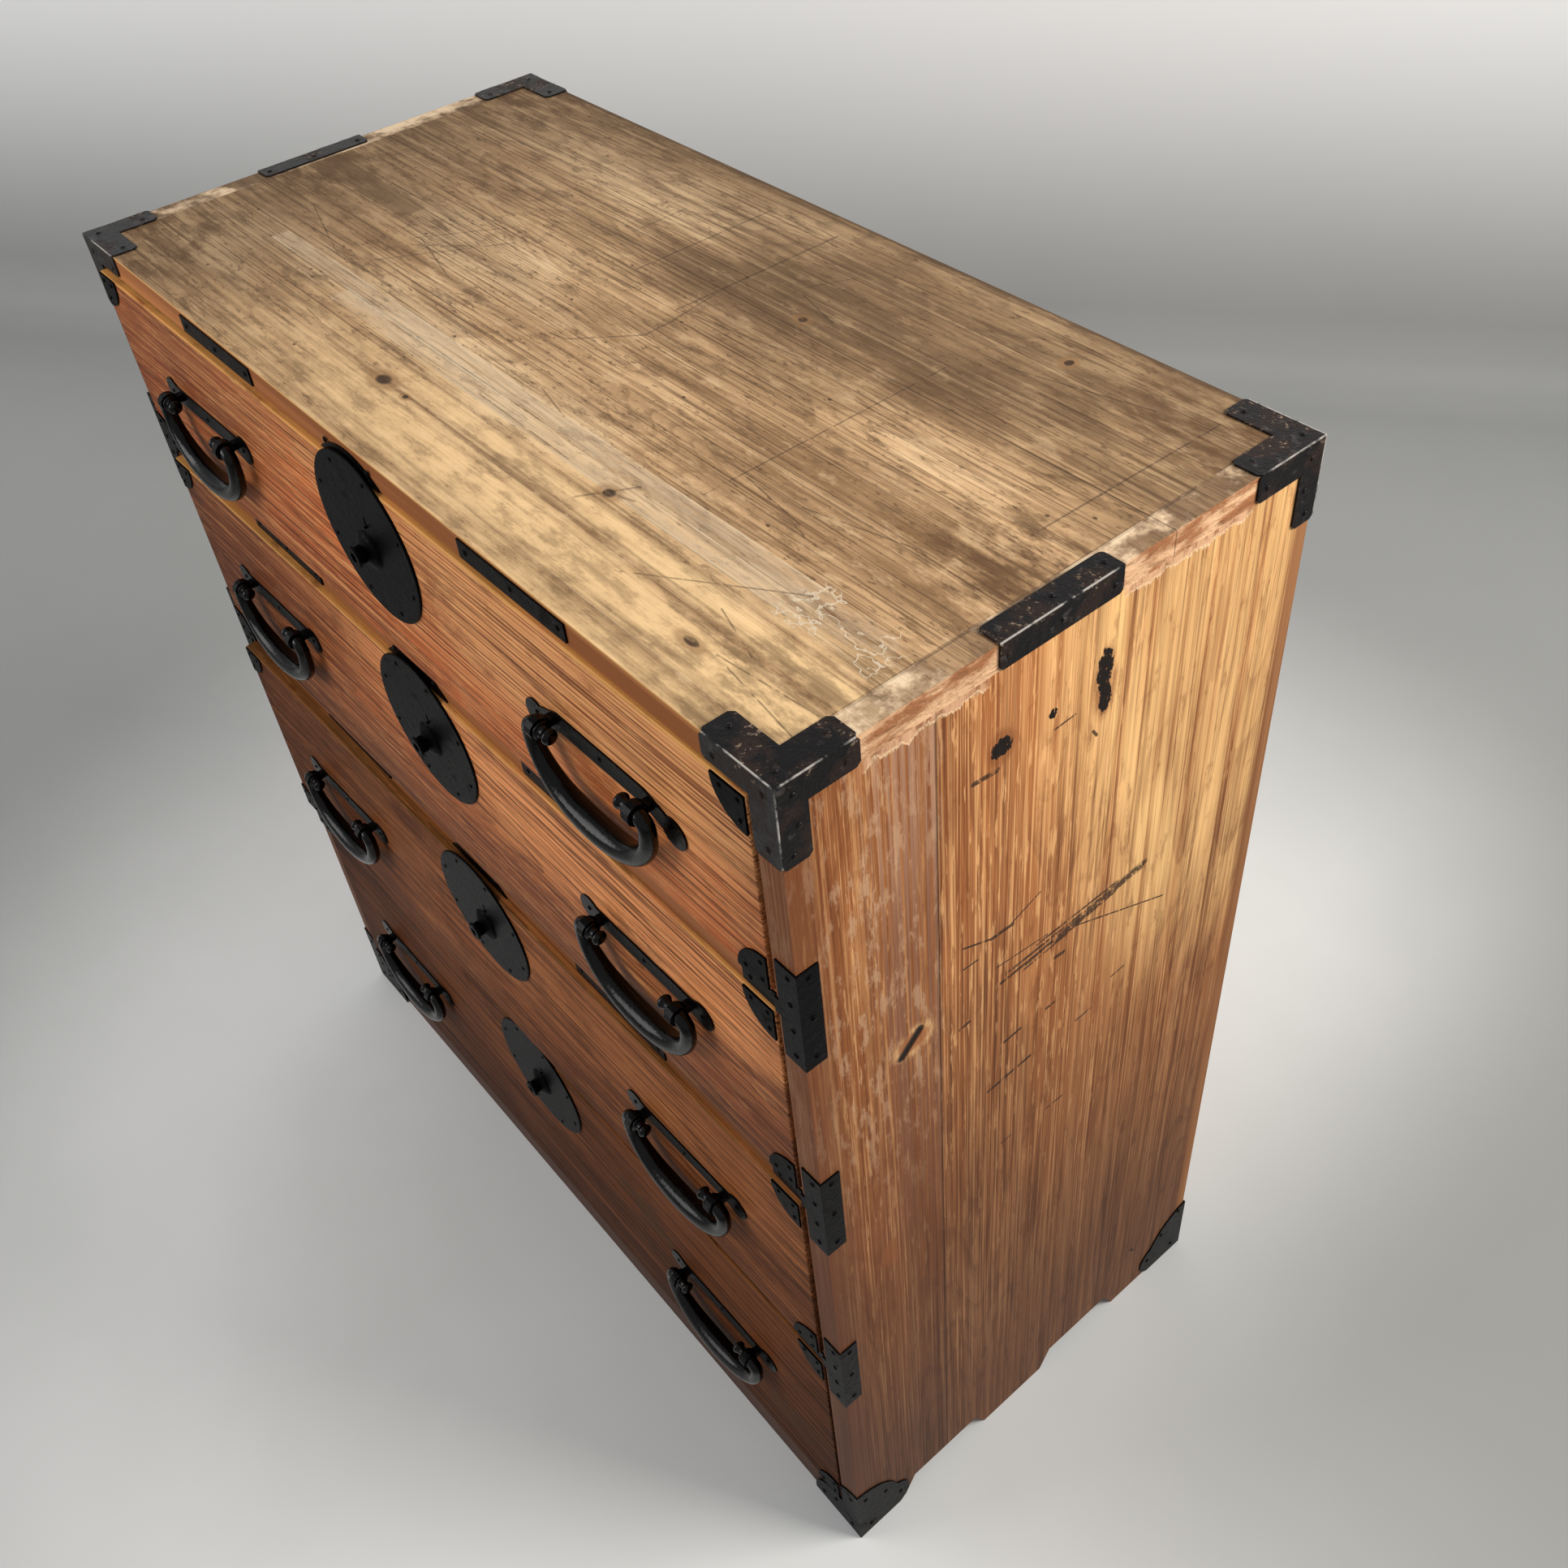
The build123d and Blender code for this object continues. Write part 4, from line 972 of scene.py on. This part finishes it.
class Face:
    """The outer face of a drawer front, which stands a little askew in its opening."""

    def __init__(self, drawer):
        self.left = Vector(joints[f"drawer_{drawer}_bail_left_swing"]["pos_m"])
        self.right = Vector(joints[f"drawer_{drawer}_bail_right_swing"]["pos_m"])
        self.along = (self.right - self.left).normalized()
        self.outward = Vector((self.along.y, -self.along.x, 0))
        self.middle = (self.left + self.right) / 2 - self.outward * axis_standoff

    def at(self, across, up, proud):
        """Return a place from its distance across from the middle, its level, and its height off the face."""
        place = self.middle + self.along * across + self.outward * proud
        return Vector((place.x, place.y, up))


faces = {drawer: Face(drawer) for drawer in drawer_ids}
drawer_nail_radius = 1.9 * mm
lock_nail_count = 8
lock_nail_ring = 60 * mm
lock_thickness = 2 * mm
plate_thickness = 1.5 * mm
handle_reach = 67 * mm
bent_handle_reach = 72 * mm
bent_handle_drop = 7 * mm
for drawer, face in faces.items():
    front_low, front_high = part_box(f"drawer_{drawer}_front")
    lock_low, lock_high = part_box(f"drawer_{drawer}_lock_plate")
    lock_level = (lock_low.z + lock_high.z) / 2
    heads = []
    for step in range(lock_nail_count):
        angle = math.tau * (step + 0.5) / lock_nail_count
        up = lock_level + lock_nail_ring * math.sin(angle)
        place = face.at(lock_nail_ring * math.cos(angle), up, lock_thickness)
        heads.append((place, face.outward, drawer_nail_radius))
    middle_x = (front_low.x + front_high.x) / 2
    half_width = (front_high.x - front_low.x) / 2
    for side_sign in (-1, 1):
        for up_sign, level in ((1, front_low.z), (-1, front_high.z)):
            for inward, up in ((6, 6), (22, 6), (6, 22)):
                across = middle_x + side_sign * (half_width - inward * mm)
                place = face.at(across, level + up_sign * up * mm, plate_thickness)
                heads.append((place, face.outward, drawer_nail_radius))
        # The top drawer's right handle plate has longer ends, bent down
        bent = drawer == 1 and side_sign > 0
        reach = bent_handle_reach if bent else handle_reach
        handle_level = (face.right if side_sign > 0 else face.left).z
        handle_middle = side_sign * (face.right - face.left).length / 2
        for end_sign in (-1, 0, 1):
            drop = bent_handle_drop if bent and end_sign else 0
            place = face.at(handle_middle + end_sign * reach, handle_level - drop, plate_thickness)
            heads.append((place, face.outward, drawer_nail_radius))
    nail_heads(f"drawer_{drawer}_nails", heads, f"drawer_{drawer}", lock_iron)

# Bails. Each was drawn out of one bar: thick in the belly, thinner towards the bends, with ends that
# turn in through the eyes and finish in a collar and a bead. The hammer left the surface uneven.

bail_iron = iron_finish(
    "bail_iron",
    (),
    black=paint(8, 7, 7),
    rust=paint(20, 16, 14),
    rust_share=0.15,
    roughness=0.12,
    seed=150,
    shine=0.24,
    smears=0.05,
    uneven=0.6,
)

# The right half of a bail's middle line, in mm across and down from the axis of its eyes
bail_path = (
    (56.5, 0.0), (59.4, -0.7), (61.6, -2.4), (63.1, -4.9), (63.5, -8.0), (63.0, -15.5), (61.2, -23.0),
    (57.6, -30.4), (52.2, -37.2), (45.0, -43.2), (36.0, -48.0), (25.5, -51.4), (13.2, -53.4), (0.0, -54.0),
)
# A turned-in end, as its places along the axis and its radii: a bead, a neck, a collar and a shank
bail_end = (
    (35.5, 2.6), (36.4, 4.9), (38.5, 6.2), (40.4, 5.6), (41.5, 4.4), (44.0, 4.2), (46.4, 4.2),
    (46.5, 6.6), (47.2, 7.0), (47.8, 7.0), (48.5, 6.6), (48.6, 5.5), (56.0, 5.5),
)
bend_radius = 5.6
belly_radius = 9.9
bail_sides = 20
hammer_marks = 0.012


def bail_centreline():
    """Return the places along one bail, from its left bend round the belly to its right bend, in mm."""
    half = [Vector((x, y)) for x, y in bail_path]
    return [Vector((-point.x, point.y)) for point in half] + list(reversed(half[:-1]))


def make_bail(drawer, word):
    """Make one bail round the axis of its eyes."""
    face = faces[drawer]
    name = f"drawer_{drawer}_bail_{word}"
    pivot = Vector(joints[f"{name}_swing"]["pos_m"])
    hammer = random.Random(10 * drawer + len(word))
    points = bail_centreline()
    lengths = [0.0]
    for before, after in zip(points, points[1:]):
        lengths.append(lengths[-1] + (after - before).length)
    made = bmesh.new()
    rings = []

    def add_ring(place, direction, radius):
        across = Vector((direction.y, -direction.x))
        ring = []
        for step in range(bail_sides):
            angle = math.tau * step / bail_sides
            reach = radius * (1 + hammer_marks * hammer.uniform(-1, 1))
            flat = place + across * reach * math.cos(angle)
            from_axis = face.along * flat.x + Vector((0, 0, flat.y)) + face.outward * reach * math.sin(angle)
            ring.append(made.verts.new(pivot + from_axis * mm))
        rings.append(ring)

    leftward = Vector((-1, 0))
    for x, radius in bail_end:
        add_ring(Vector((-x, 0)), leftward, radius)
    for index, point in enumerate(points):
        before = points[max(index - 1, 0)]
        after = points[min(index + 1, len(points) - 1)]
        share = 1 - abs(2 * lengths[index] / lengths[-1] - 1)
        swell = share * share * (3 - 2 * share)
        add_ring(point, (after - before).normalized(), bend_radius + (belly_radius - bend_radius) * swell)
    for x, radius in reversed(bail_end):
        add_ring(Vector((x, 0)), leftward, radius)
    for lower, upper in zip(rings, rings[1:]):
        for step in range(bail_sides):
            after = (step + 1) % bail_sides
            made.faces.new((lower[step], lower[after], upper[after], upper[step]))
    made.faces.new(rings[0])
    made.faces.new(rings[-1])
    bmesh.ops.recalc_face_normals(made, faces=made.faces)
    mesh = bpy.data.meshes.new(f"forged_{name}")
    made.to_mesh(mesh)
    made.free()
    mesh.shade_smooth()
    mesh.materials.append(bail_iron)
    bail = bpy.data.objects.new(f"forged_{name}", mesh)
    bpy.context.scene.collection.objects.link(bail)
    smooth = bail.modifiers.new("smooth", "SUBSURF")
    smooth.levels = 1
    smooth.render_levels = 1
    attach(bail, f"{name}_body")
    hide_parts(name)


for drawer in drawer_ids:
    make_bail(drawer, "left")
    make_bail(drawer, "right")

# Floor and wall: a pale studio sweep that isn't part of the chest. It is one sheet that lies on
# the ground and turns up into a wall behind the chest. Painted shade darkens its floor away from the
# chest and behind the chest's right side.

floor_finish = Finish("studio_grey")
floor_cloud = floor_finish.noise((1.6, 1.6, 1.6), detail=4, roughness=0.6, seed=160)
# Painted shade: the floor darkens away from the chest and behind its right side
far = (floor_finish.x * floor_finish.x + floor_finish.y * floor_finish.y) ** 0.5
painted_shade_right = floor_finish.x.within(0.2, 0.7) * floor_finish.y.within(-0.6, 0.4)
floor_colour = floor_finish.lay(
    paint(222, 223, 220),
    (paint(233, 233, 231), floor_cloud.within(0.3, 0.7)),
    (paint(130, 131, 129), far.within(0.6, 1.3) * 0.8),
    (paint(136, 137, 135), painted_shade_right * 0.9),
    (paint(252, 252, 251), floor_finish.z.within(0.05, 0.85)),
)
floor_finish.coat((), floor_colour, 0.6)
wall_foot = Vector((-1.55, 0.95, 0))
wall_along = Vector((0.80, 0.60, 0)).normalized()
wall_out = Vector((wall_along.y, -wall_along.x, 0))
half_length = 8.0
# The sweep's section: how far each place lies in front of the wall, and how high
sweep_section = ((9.0, 0.0), (0.12, 0.0), (0.05, 0.012), (0.012, 0.05), (0.0, 0.12), (0.0, 6.0))
sweep = bmesh.new()
columns = []
for reach in (-half_length, half_length):
    column = []
    for away, up in sweep_section:
        place = wall_foot + wall_along * reach + wall_out * away
        column.append(sweep.verts.new((place.x, place.y, up)))
    columns.append(column)
for step in range(len(sweep_section) - 1):
    sweep.faces.new((columns[0][step], columns[1][step], columns[1][step + 1], columns[0][step + 1]))
bmesh.ops.recalc_face_normals(sweep, faces=sweep.faces)
sweep_mesh = bpy.data.meshes.new("studio_sweep")
sweep.to_mesh(sweep_mesh)
sweep.free()
sweep_mesh.shade_smooth()
sweep_mesh.materials.append(floor_finish.material)
sweep_object = bpy.data.objects.new("studio_sweep", sweep_mesh)
bpy.context.scene.collection.objects.link(sweep_object)

# Lamps: a large soft key above and behind the chest's right side, a weak fill from the front, and an
# even pale room.


def soft_lamp(name, place, aim, size, watts, colour):
    """Hang a square area lamp that faces a point."""
    lamp = bpy.data.lights.new(name, "AREA")
    lamp.size = size
    lamp.energy = watts
    lamp.color = colour
    hung = bpy.data.objects.new(name, lamp)
    hung.location = place
    hung.rotation_euler = (Vector(aim) - Vector(place)).to_track_quat("-Z", "Y").to_euler()
    bpy.context.scene.collection.objects.link(hung)


soft_lamp(
    "key_lamp", place=(1.6, 1.0, 2.0), aim=(0.3, 0.1, 0.8), size=1.0, watts=50, colour=(1.0, 0.97, 0.93)
)
soft_lamp(
    "fill_lamp", place=(-1.7, -2.6, 1.9), aim=(0.0, -0.1, 0.6), size=1.9, watts=42, colour=(1.0, 0.98, 0.96)
)
world = bpy.data.worlds.new("room")
bpy.context.scene.world = world
world.use_nodes = True
room_light = world.node_tree.nodes["Background"].inputs
room_light["Color"].default_value = (0.95, 0.97, 1.0, 1.0)
room_light["Strength"].default_value = 0.46

# Camera: it looks down at the chest from its front right, as a standing person would. Its lens is
# shifted a little so that the whole chest stays in the frame.

camera_place = (0.9262, -0.5476, 1.5647)
camera_direction = Vector((-0.58027, 0.43389, -0.68922))
camera_roll = math.radians(-5.24)
camera_data = bpy.data.cameras.new("camera")
camera_data.lens = 36.23
camera_data.sensor_width = 36
camera_data.shift_x = -0.0175
camera_data.shift_y = -0.0222
camera = bpy.data.objects.new("camera", camera_data)
camera.location = camera_place
level_turn = camera_direction.to_track_quat("-Z", "Y").to_matrix()
camera.rotation_euler = (level_turn @ Matrix.Rotation(camera_roll, 3, "Z")).to_euler()
bpy.context.scene.collection.objects.link(camera)
bpy.context.scene.camera = camera
bpy.context.scene.view_settings.view_transform = "Standard"
